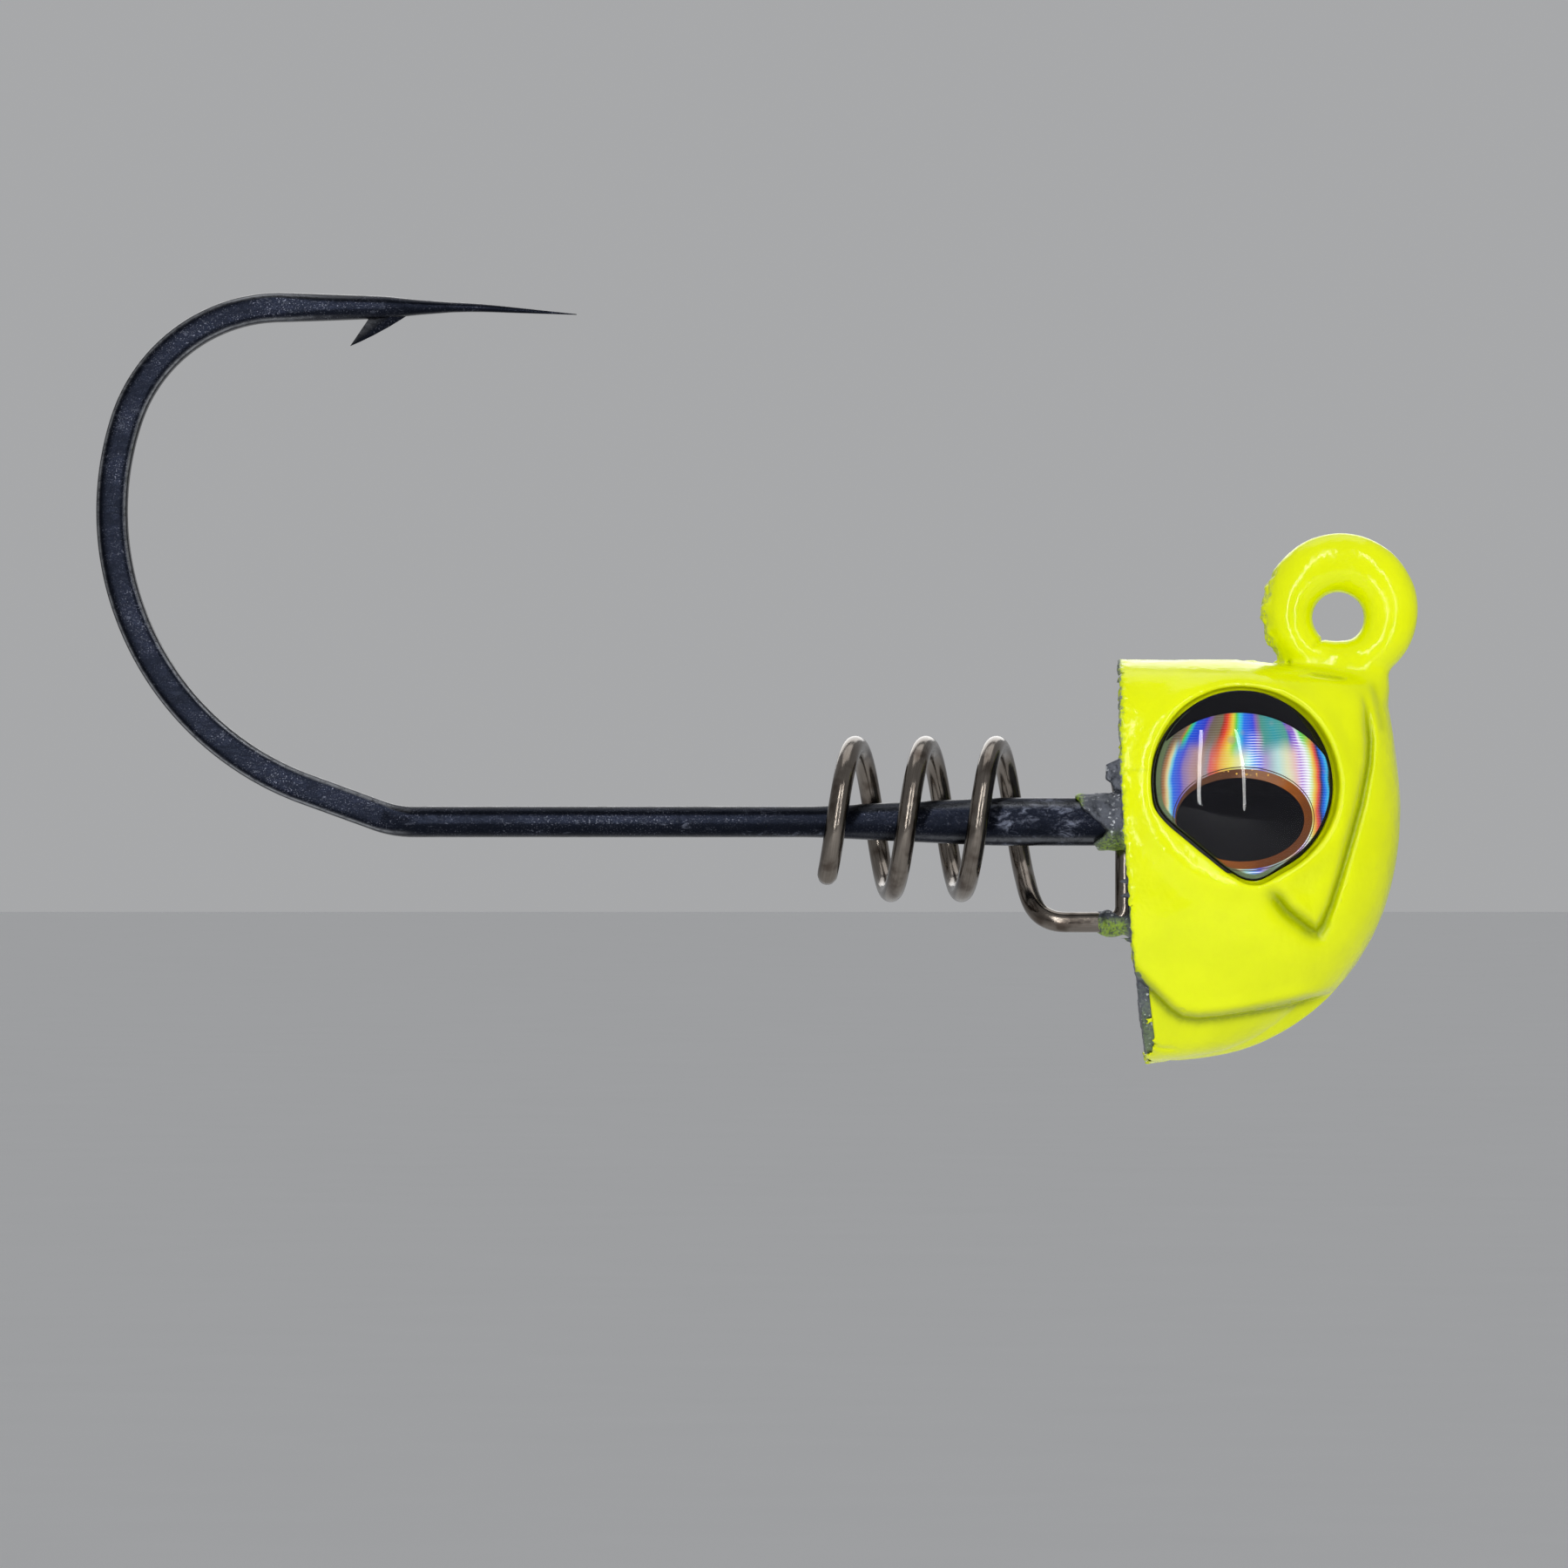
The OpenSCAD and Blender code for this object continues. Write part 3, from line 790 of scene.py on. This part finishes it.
def eye_object(name, side, mesh, smooth=False):
    """An object from points in eye space, with those points kept for its material."""
    points, faces = mesh
    if side == "left":
        faces = [f[::-1] for f in faces]
    points = np.asarray(points)
    obj = new_object(side + "_" + name, moved(points, EYES[side]), faces, smooth)
    set_attribute(obj, "eye_u", points[:, 0])
    set_attribute(obj, "eye_v", points[:, 1])
    set_attribute(obj, "rim_mm", -past_rim(points, side, EYE_R))
    return obj


def rings_solid(rings):
    """Closed surface through rings of equal count, ended by a point at each end."""
    n = len(TURN)
    points = [rings[0].mean(0)] + [q for ring in rings for q in ring] + [rings[-1].mean(0)]
    faces = [[0, 1 + k, 1 + (k + 1) % n] for k in range(n)] + row_quads(len(rings), n, first=1)
    base, end = 1 + (len(rings) - 1) * n, len(points) - 1
    faces += [[end, base + (k + 1) % n, base + k] for k in range(n)]
    return points, faces


def lift(ring, z):
    return np.column_stack([ring, np.full(len(ring), z)])


def flat_ring(inner, outer, top):
    """A thin closed band of print between two outlines."""
    loops = [lift(inner, top), lift(outer, top), lift(outer, PRINT_FOOT), lift(inner, PRINT_FOOT)]
    return np.concatenate(loops), row_quads(4, len(TURN), tube=True)


def make_film(side):
    levels = [(s, 0.0) for s in (0.02, 0.2, 0.4, 0.6, 0.8, 0.93, 0.97)]
    levels += [(0.985, -0.015), (0.985, -0.09), (0.5, -0.1), (0.02, -0.1)]
    return eye_object("eye_film", side, rings_solid([lift(outline(side, s), z) for s, z in levels]))


def make_dome(side):
    """Clear resin: a plain spherical cap in the middle that takes up the outline near its rim."""
    cap = (EYE_R ** 2 + DOME_H ** 2) / (2 * DOME_H)
    rings = []
    for s in np.concatenate([[0.02], np.arange(0.06, 0.97, 0.04), [0.975, 0.985]]):
        z = math.sqrt(cap ** 2 - (EYE_R * s) ** 2) - (cap - DOME_H)
        rings.append(lift(outline(side, s) * s ** 3 + plain_circle(s) * (1 - s ** 3), z))
    for s, z in ((0.995, 0.02), (1.0, -0.02), (0.995, -0.05), (0.5, -0.05), (0.02, -0.05)):
        rings.append(lift(outline(side, s), z))
    return eye_object("eye_dome", side, rings_solid(rings), smooth=True)


def make_brow(side):
    """Black print above the foil: what is outside the foil's circle."""
    turn = np.radians(np.arange(0, 181, 2.0))
    outer = EYE_R * 0.97 * rim(turn, side)
    u, v, r = FOIL
    along = u * np.cos(turn) + v * np.sin(turn)
    inner = along + np.sqrt(along ** 2 + r ** 2 - u ** 2 - v ** 2)
    keep = inner < outer - 0.01
    turn, outer, inner = turn[keep], outer[keep], inner[keep]
    n = len(turn)
    rows = [lift(np.stack([reach * np.cos(turn), reach * np.sin(turn)], 1), z)
            for reach, z in ((inner, 0.014), (outer, 0.014), (outer, PRINT_FOOT), (inner, PRINT_FOOT))]
    ends = [[0, 3 * n, 2 * n, n], [n - 1, 2 * n - 1, 3 * n - 1, 4 * n - 1]]
    faces = row_quads(4, n, tube=True, strip=True) + ends
    return eye_object("eye_brow", side, (np.concatenate(rows), faces))


def make_iris(side):
    ring = flat_ring(ellipse(side, PUPIL, -0.1), ellipse(side, IRIS), 0.016)
    return eye_object("eye_iris", side, ring)


def make_pupil(side):
    levels = [(s, 0.022) for s in (0.02, 0.5, 0.9, 0.99)]
    levels += [(1, 0.014), (1, PRINT_FOOT), (0.02, PRINT_FOOT)]
    rings = [lift(ellipse(side, PUPIL, share=s), z) for s, z in levels]
    return eye_object("eye_pupil", side, rings_solid(rings))


def make_iris_line(side):
    """Fine dark line round the outside of the iris ring."""
    ring = flat_ring(ellipse(side, IRIS, 0.05), ellipse(side, IRIS, 0.085), 0.013)
    return eye_object("eye_iris_line", side, ring)


# ---- materials ----

class Nodes:
    """A thin layer over a material's node tree, so a material reads as a list of steps."""

    def __init__(self, name):
        self.material = bpy.data.materials.new(name)
        self.material.use_nodes = True
        self.tree = self.material.node_tree
        self.shader = self.tree.nodes["Principled BSDF"]
        self.object_place = None

    def put(self, socket, value):
        """Links or sets a socket. None leaves it alone."""
        if isinstance(value, bpy.types.NodeSocket):
            self.tree.links.new(value, socket)
        elif value is not None:
            socket.default_value = value

    def node(self, kind, inputs=None, **settings):
        n = self.tree.nodes.new(kind)
        for key, value in settings.items():
            setattr(n, key, value)
        for key, value in (inputs or {}).items():
            self.put(n.inputs[key], value)
        return n

    def set(self, **inputs):
        for key, value in inputs.items():
            self.put(self.shader.inputs[key.replace("_", " ")], value)

    def math(self, operation, *values):
        return self.node("ShaderNodeMath", dict(enumerate(values)), operation=operation).outputs[0]

    def times(self, a, b):
        return self.math("MULTIPLY", a, b)

    def plus(self, a, b):
        return self.math("ADD", a, b)

    def minus(self, a, b):
        return self.math("SUBTRACT", a, b)

    def between(self, value, lo, hi, out_lo=0.0, out_hi=1.0, curve="SMOOTHSTEP"):
        limits = {"Value": value, "From Min": lo, "From Max": hi, "To Min": out_lo, "To Max": out_hi}
        return self.node("ShaderNodeMapRange", limits, interpolation_type=curve).outputs["Result"]

    def mix(self, factor, a, b):
        n = self.node("ShaderNodeMix", {"Factor": factor, "A": a, "B": b}, data_type="RGBA")
        return n.outputs["Result"]

    def place(self):
        if self.object_place is None:
            self.object_place = self.node("ShaderNodeTexCoord").outputs["Object"]
        return self.object_place

    def noise(self, scale, detail=3.0, rough=0.5, vector=None, distort=0.0):
        """Noise with about `scale` lumps per metre of the object."""
        inputs = {"Vector": vector or self.place(), "Scale": scale, "Detail": detail,
                  "Roughness": rough, "Distortion": distort}
        return self.node("ShaderNodeTexNoise", inputs).outputs["Fac"]

    def cells(self, scale, output="Distance"):
        n = self.node("ShaderNodeTexVoronoi", {"Vector": self.place(), "Scale": scale})
        return n.outputs[output]

    def attribute(self, name):
        return self.node("ShaderNodeAttribute", attribute_name=name).outputs["Fac"]

    def bump(self, height, distance, strength=1.0, normal=None):
        inputs = {"Height": height, "Distance": distance, "Strength": strength, "Normal": normal}
        return self.node("ShaderNodeBump", inputs).outputs["Normal"]


def rgb(r, g, b):
    return (r, g, b, 1.0)


def ramp(m, value, lo, hi, stops):
    """A colour that follows `value` through (place, colour) stops between lo and hi."""
    n = m.node("ShaderNodeValToRGB", {"Fac": m.between(value, lo, hi, curve="LINEAR")})
    ramp_stops = n.color_ramp.elements
    while len(ramp_stops) < len(stops):
        ramp_stops.new(0.5)
    for element, (place, colour) in zip(ramp_stops, stops):
        element.position = (place - lo) / (hi - lo)
        element.color = colour
    return n.outputs["Color"]


def coat_material():
    m = Nodes("powder_coat")
    patch = m.noise(420, 3)
    fine = m.noise(5200, 2)
    colour = m.mix(m.between(patch, 0.3, 0.7), rgb(0.72, 0.8, 0.0), rgb(0.78, 0.86, 0.0))
    # Bare lead and thin green paint show through along the back edge
    edge = m.attribute("back_edge_mm")
    grain = m.noise(4200, 4, 0.7)
    bare = m.between(m.plus(edge, m.times(grain, -0.6)), -0.4, -0.33, 1.0, 0.0)
    thin = m.between(m.plus(edge, m.times(grain, -0.5)), -0.36, -0.1, 1.0, 0.0)
    colour = m.mix(m.times(thin, 0.75), colour, rgb(0.34, 0.46, 0.02))
    colour = m.mix(bare, colour, rgb(0.2, 0.23, 0.2))
    scab = m.times(m.attribute("scab"), m.between(grain, 0.42, 0.62))
    colour = m.mix(m.times(scab, 0.8), colour, rgb(0.36, 0.42, 0.16))
    # Painted shade: the powder's colour is darkened to olive down in the grooves
    sunk = m.times(m.attribute("groove_and_shade"), m.between(fine, 0.2, 0.6, 0.6, 0.75))
    colour = m.mix(sunk, colour, rgb(0.16, 0.22, 0.0))
    # A few dark specks of dirt under the gloss
    speck = m.between(m.cells(1100), 0.035, 0.07, 1.0, 0.0)
    rare = m.between(m.noise(300, 2), 0.62, 0.66)
    colour = m.mix(m.times(m.times(speck, rare), 0.7), colour, rgb(0.16, 0.18, 0.01))
    shine = m.between(m.noise(700, 3), 0.35, 0.65, 0.1, 0.24)
    rough = m.plus(shine, m.times(m.math("MAXIMUM", bare, scab), 0.4))
    peel = m.bump(m.noise(1300, 2), 0.00006, 0.7)
    peel = m.bump(m.noise(3400, 2), 0.00002, 0.7, peel)
    grit = m.bump(fine, 0.000003, 0.5, peel)
    m.set(Base_Color=colour, Roughness=rough, Normal=grit)
    m.set(Coat_Weight=0.1, Coat_Roughness=0.08, Specular_IOR_Level=0.22)
    return m.material


def hook_material():
    m = Nodes("black_nickel")
    x = m.node("ShaderNodeSeparateXYZ", {"Vector": m.place()}).outputs["X"]
    drawn = m.node("ShaderNodeMapping", {"Vector": m.place(), "Scale": (0.45, 1.0, 1.0)}).outputs[0]
    grain = m.noise(17000, 3, 0.7)
    flakes = m.noise(4200, 5, 0.72, drawn, 0.6)
    blotch = m.noise(900, 4, 0.6, drawn)
    # Wear: faint flecks all along, and rubbed stretches beside the head and under the keeper
    rubbed = m.times(m.between(x, -0.0165, -0.0125), m.between(x, -0.0095, -0.0105))
    under = m.times(m.between(x, -0.027, -0.0215), m.between(x, -0.0185, -0.0205, 0.0, 0.6))
    level = m.plus(m.times(m.plus(rubbed, under), 0.12), flakes)
    level = m.plus(level, m.times(m.minus(blotch, 0.5), 0.45))
    fleck = m.between(level, 0.6, 0.85)
    colour = m.mix(blotch, rgb(0.002, 0.003, 0.005), rgb(0.008, 0.01, 0.019))
    colour = m.mix(m.times(fleck, 0.65), colour, rgb(0.15, 0.165, 0.215))
    speckle = m.times(m.between(grain, 0.58, 0.68), m.between(blotch, 0.4, 0.6, 0.1, 0.6))
    colour = m.mix(speckle, colour, rgb(0.17, 0.18, 0.22))
    # The plating is polished bright along the edges of the forging
    edge = m.times(m.attribute("corner"), m.between(flakes, 0.3, 0.6, 0.35, 0.9))
    colour = m.mix(edge, colour, rgb(0.3, 0.31, 0.33))
    m.set(Base_Color=colour, Metallic=0.95, Roughness=m.between(flakes, 0.3, 0.7, 0.22, 0.36))
    m.set(Normal=m.bump(flakes, 0.00001, 0.6, m.bump(grain, 0.000003, 0.5)))
    return m.material


def keeper_material():
    """Drawn wire: its streaks are long along the wire and narrow round it."""
    m = Nodes("keeper_wire")
    scales = {"round_x": 6.0, "round_y": 6.0, "along_mm": 0.35}
    parts = [m.times(m.attribute(name), scale) for name, scale in scales.items()]
    join = m.node("ShaderNodeCombineXYZ", dict(enumerate(parts)))
    drawn = m.noise(2.2, 4, 0.6, join.outputs[0])
    stain = m.noise(900, 3)
    colour = m.mix(drawn, rgb(0.07, 0.06, 0.052), rgb(0.26, 0.23, 0.2))
    colour = m.mix(m.between(stain, 0.5, 0.7, 0.0, 0.7), colour, rgb(0.04, 0.027, 0.02))
    m.set(Base_Color=colour, Metallic=1.0, Roughness=m.between(drawn, 0.3, 0.7, 0.1, 0.2))
    m.set(Normal=m.bump(drawn, 0.000006, 0.6, m.bump(m.noise(6000, 2), 0.000004, 0.5)))
    return m.material


def lead_material():
    m = Nodes("raw_lead")
    grain = m.noise(9000, 4, 0.7)
    blotch = m.noise(900, 4)
    # Painted glints: bright specks in the metal's colour stand in for light sparkling off the grain
    cell = m.cells(11000, output="Color")
    painted_glint = m.between(m.node("ShaderNodeSeparateXYZ", {"Vector": cell}).outputs["X"], 0.86, 0.94)
    painted_glint = m.times(painted_glint, m.between(m.noise(1500, 3), 0.42, 0.56))
    colour = m.mix(m.times(blotch, grain), rgb(0.025, 0.03, 0.04), rgb(0.36, 0.38, 0.44))
    colour = m.mix(m.times(painted_glint, m.between(grain, 0.4, 0.6)), colour, rgb(0.75, 0.78, 0.82))
    # Powder that strayed past the coat's edge, and settled under the collars
    dust = m.plus(m.times(m.attribute("rim_mm"), -1.3), m.times(grain, 1.6))
    dust = m.between(dust, 0.0, 0.8, 0.0, 0.7)
    green = m.times(m.attribute("overspray"), m.between(grain, 0.35, 0.6))
    colour = m.mix(dust, colour, rgb(0.16, 0.24, 0.08))
    colour = m.mix(m.times(green, 0.9), colour, rgb(0.32, 0.5, 0.02))
    paint = m.math("MAXIMUM", dust, green)
    m.set(Base_Color=colour, Metallic=m.times(m.minus(1.0, paint), 0.75))
    m.set(Roughness=m.between(grain, 0.3, 0.7, 0.34, 0.6))
    m.set(Normal=m.bump(grain, 0.00003, 0.8, m.bump(m.noise(3000, 3), 0.00004, 0.6)))
    return m.material


def pad_material():
    m = Nodes("eye_backing")
    pore = m.cells(5000)
    m.set(Base_Color=m.mix(pore, rgb(0.004, 0.004, 0.005), rgb(0.02, 0.02, 0.022)), Roughness=0.8)
    m.set(Normal=m.bump(pore, 0.00003, 0.6))
    return m.material


# Colours across the foil, as the place along it in millimetres and red, green and blue in
# per cent: the low ones near the iris and the high ones under the brow
FOIL_LOW = [
    (-3.30, 12, 14, 9), (-3.12, 60, 26, 10), (-2.98, 100, 90, 45), (-2.88, 30, 90, 100),
    (-2.76, 4, 22, 100), (-2.50, 10, 12, 85), (-2.35, 34, 24, 60), (-2.05, 55, 34, 40),
    (-1.75, 58, 36, 28), (-1.45, 42, 38, 42), (-1.30, 85, 16, 18), (-1.05, 100, 26, 8),
    (-0.88, 100, 58, 10), (-0.55, 100, 92, 16), (-0.20, 95, 100, 62), (0.05, 50, 100, 100),
    (0.28, 12, 40, 100), (0.52, 16, 18, 95), (0.75, 48, 36, 72), (1.05, 50, 62, 72),
    (1.35, 62, 92, 88), (1.70, 92, 92, 60), (1.98, 95, 62, 60), (2.18, 55, 30, 85),
    (2.42, 92, 90, 100), (2.55, 75, 100, 50), (2.68, 100, 72, 10), (2.86, 95, 10, 6),
    (3.02, 2, 3, 16), (3.16, 1, 16, 90), (3.32, 5, 62, 100), (3.42, 1, 1, 1)]
FOIL_HIGH = [
    (-3.40, 10, 9, 7), (-2.90, 24, 17, 12), (-2.80, 55, 25, 6), (-2.71, 8, 75, 8),
    (-2.60, 3, 60, 60), (-2.48, 1, 12, 90), (-2.02, 3, 5, 75), (-1.84, 25, 10, 50),
    (-1.66, 20, 15, 11), (-1.26, 22, 19, 10), (-1.15, 45, 4, 2), (-1.00, 95, 5, 2),
    (-0.86, 100, 38, 2), (-0.72, 100, 90, 5), (-0.56, 12, 80, 10), (-0.40, 5, 75, 85),
    (-0.20, 2, 22, 100), (0.26, 4, 8, 85), (0.42, 28, 14, 55), (0.58, 24, 24, 30),
    (0.72, 8, 38, 30), (1.25, 4, 40, 46), (1.80, 10, 42, 34), (1.94, 16, 10, 70),
    (2.20, 36, 12, 80), (2.32, 92, 92, 100), (2.50, 10, 75, 10), (2.80, 35, 80, 5),
    (2.90, 100, 70, 5), (3.04, 70, 10, 2), (3.20, 2, 2, 12), (3.40, 1, 10, 60)]
FOIL_REACH = 3.45
FOIL_SHADE = 0.52  # the share of those colours that the foil gives back


def film_material():
    m = Nodes("eye_film")
    u, v = m.attribute("eye_u"), m.attribute("eye_v")
    edge = m.attribute("rim_mm")
    wave = m.minus(m.noise(700, 2), 0.5)
    # The bands draw together towards the brow
    rise = m.math("MAXIMUM", m.minus(v, 0.5), 0.0)
    fan = m.math("MULTIPLY_ADD", m.times(rise, rise), 0.08, 1.0)
    lean = m.times(m.times(rise, m.between(u, 2.0, 0.0)), -0.12)
    band = m.plus(m.math("MULTIPLY_ADD", u, fan, lean), m.times(wave, 0.4))
    low, high = (ramp(m, band, -FOIL_REACH, FOIL_REACH,
                      [(at, rgb(*(FOIL_SHADE * np.array(percent) / 100))) for at, *percent in stops])
                 for stops in (FOIL_LOW, FOIL_HIGH))
    level = m.plus(v, m.times(m.minus(m.noise(450, 2), 0.5), 1.6))
    colour = m.mix(m.between(level, 1.05, 1.9), low, high)
    # Fine engraved lines catch white light, most of all in the blue and violet bands
    micro = m.math("SINE", m.plus(m.times(v, 62.0), m.times(m.noise(600, 2), 16.0)))
    blue, violet = (m.between(m.math("ABSOLUTE", m.minus(band, middle)), reach, 0.1)
                    for middle, reach in ((0.3, 0.55), (2.3, 0.4)))
    bright = m.plus(m.times(m.plus(blue, violet), m.between(v, 2.1, 1.5, 0.0, 0.62)), 0.05)
    colour = m.mix(m.times(m.between(micro, 0.0, 0.9), bright), colour, rgb(0.8, 0.84, 0.9))
    spots = m.between(m.cells(1300), 0.12, 0.3, 0.6, 0.0)
    spots = m.times(spots, m.between(m.noise(500, 2), 0.5, 0.6))
    colour = m.mix(spots, colour, rgb(0.3, 0.22, 0.16))
    # Clear edge of the film on the side away from the nose, where the paint glows through
    side = m.between(m.plus(u, m.times(v, 0.5)), 0.5, -1.0)
    clear = m.times(m.between(edge, 0.34, 0.24), side)
    # Painted shade: a near-black ring round the film's edge, wider towards the nose, stands in for the
    # shadow in the socket's gap
    reach = m.math("MULTIPLY_ADD", side, -0.1, 0.22)
    rim_shade = m.between(m.minus(edge, reach), 0.0, -0.04)
    colour = m.mix(clear, colour, rgb(0.1, 0.14, 0.07))
    colour = m.mix(rim_shade, colour, rgb(0.004, 0.004, 0.006))
    plain = m.minus(1.0, m.math("MAXIMUM", clear, rim_shade))
    m.set(Base_Color=colour, Metallic=m.times(plain, 0.35), Roughness=0.5)
    m.set(Specular_IOR_Level=0.0, Normal=m.bump(micro, 0.000003, 0.4))
    return m.material


def print_material(name, low, high):
    """Ink under the resin: it has no gloss of its own."""
    m = Nodes(name)
    grain = m.noise(6000, 3)
    m.set(Base_Color=m.mix(grain, low, high), Roughness=m.between(grain, 0.3, 0.7, 0.5, 0.7))
    m.set(Specular_IOR_Level=0.0)
    return m.material


def iris_material():
    m = Nodes("eye_iris")
    u, v = m.attribute("eye_u"), m.attribute("eye_v")
    patch = m.noise(900, 3)
    turn = m.plus(m.times(u, 0.25), m.times(v, -0.2))
    colour = ramp(m, m.plus(turn, m.times(patch, 0.6)), -0.8, 1.8, [
        (-0.7, rgb(0.05, 0.028, 0.02)), (0.0, rgb(0.08, 0.034, 0.018)), (0.35, rgb(0.17, 0.095, 0.06)),
        (0.7, rgb(0.2, 0.06, 0.01)), (1.1, rgb(0.1, 0.03, 0.008)), (1.6, rgb(0.07, 0.03, 0.015))])
    glint = m.times(m.between(m.cells(6500), 0.3, 0.1), m.between(v, 0.0, 0.4))
    colour = m.mix(m.times(glint, 0.8), colour, rgb(0.9, 0.55, 0.08))
    m.set(Base_Color=colour, Metallic=0.35, Roughness=0.5, Specular_IOR_Level=0.0)
    m.set(Normal=m.bump(m.noise(5000, 2), 0.000003, 0.5))
    return m.material


def dome_material():
    m = Nodes("eye_dome")
    m.set(Base_Color=rgb(1.0, 1.0, 1.0), Transmission_Weight=1.0, IOR=1.3)
    m.set(Roughness=m.between(m.noise(800, 3), 0.3, 0.7, 0.01, 0.05))
    m.set(Normal=m.bump(m.noise(500, 2), 0.000012, 0.3))
    # Lamps reach the print through the dome
    clear = m.node("ShaderNodeBsdfTransparent").outputs[0]
    lamp = m.node("ShaderNodeLightPath").outputs["Is Shadow Ray"]
    both = m.node("ShaderNodeMixShader", {0: lamp, 1: m.shader.outputs[0], 2: clear})
    m.put(m.tree.nodes["Material Output"].inputs["Surface"], both.outputs[0])
    return m.material


# ---- stage ----

def make_camera():
    lo, hi = (np.array(v) for v in CAD_BOX)
    size = hi - lo
    aim = np.array([lo[0] + 0.521 * size[0], 0.0, lo[2] + 0.3625 * size[2]])
    distance, frame_width = 0.45, 0.0612
    cam = bpy.data.cameras.new("camera")
    cam.sensor_width = 36
    cam.lens = cam.sensor_width * distance / frame_width
    cam.clip_start, cam.clip_end = 0.01, 10
    obj = add_object("camera", cam)
    beside = 0.01  # the camera stands a little to the head's side of the middle
    obj.location = aim + np.array([beside, -distance, 0])
    obj.rotation_euler = (math.radians(90), 0, math.atan2(beside, distance))
    bpy.context.scene.camera = obj


def area_light(name, at, aim, size, power):
    light = bpy.data.lights.new(name, "AREA")
    light.shape = "RECTANGLE"
    light.size, light.size_y = size
    light.energy = power
    obj = add_object(name, light)
    obj.location = at
    direction = Vector(aim) - Vector(at)
    obj.rotation_euler = direction.to_track_quat("-Z", "Y").to_euler()


def make_lights():
    head = (-0.003, 0, -0.008)
    area_light("strip_left", (-0.055, -0.3, 0.09), head, (0.014, 0.36), 0.42)
    area_light("strip_right", (0.115, -0.28, 0.09), head, (0.014, 0.36), 0.33)
    area_light("overhead", (-0.03, 0.1, 0.34), (-0.02, 0, 0), (0.3, 0.25), 0.3)
    area_light("fill_back", (-0.05, 0.3, 0.15), (-0.02, 0, 0), (0.3, 0.2), 0.3)
    world = bpy.data.worlds.new("studio")
    world.use_nodes = True
    sky = world.node_tree.nodes["Background"]
    sky.inputs["Color"].default_value = rgb(0.97, 0.98, 1.0)
    sky.inputs["Strength"].default_value = 0.4
    bpy.context.scene.world = world


def make_floor():
    side, drop = 40.0, 0.1
    z = CAD_BOX[0][2] - drop
    corners = np.array([(-side, -side, z), (side, -side, z), (side, side, z), (-side, side, z)])
    floor = new_object("floor", corners / MM, [(0, 1, 2, 3)], smooth=False)
    m = Nodes("floor")
    pale = m.mix(m.noise(30, 2), rgb(0.84, 0.845, 0.85), rgb(0.87, 0.875, 0.88))
    m.set(Base_Color=pale, Roughness=0.8)
    floor.data.materials.append(m.material)


# ---- build ----

def put(obj, material, slot, *nodes):
    obj.data.materials.append(material)
    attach(obj, "root")
    if nodes:
        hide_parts(*nodes)


def make_eyes():
    backing, film, iris, dome = pad_material(), film_material(), iris_material(), dome_material()
    ink = print_material("eye_ink", rgb(0.001, 0.001, 0.002), rgb(0.005, 0.005, 0.007))
    line_ink = print_material("eye_line_ink", rgb(0.03, 0.02, 0.015), rgb(0.09, 0.05, 0.03))
    for side in EYES:
        pad = bpy.data.objects[side + "_eye_pad"]
        pad.data.materials.clear()
        pad.data.materials.append(backing)
        put(make_film(side), film, "eye_film", side + "_eye_film")
        put(make_brow(side), ink, "eye_film")
        put(make_iris(side), iris, "eye_film")
        put(make_iris_line(side), line_ink, "eye_film")
        put(make_pupil(side), ink, "eye_film")
        put(make_dome(side), dome, "eye_dome", side + "_eye_lens")


bpy.context.scene.view_settings.view_transform = "Standard"
make_camera()
make_lights()
make_floor()
put(make_coat(), coat_material(), "powder_coat", "head_coat", "ring_coat")
put(make_lead(), lead_material(), "raw_lead", "lead_head")
black_nickel = hook_material()
put(make_hook(), black_nickel, "black_nickel", "hook")
put(make_barb(), black_nickel, "black_nickel")
put(make_keeper(), keeper_material(), "keeper_wire", "keeper_spring")
make_eyes()
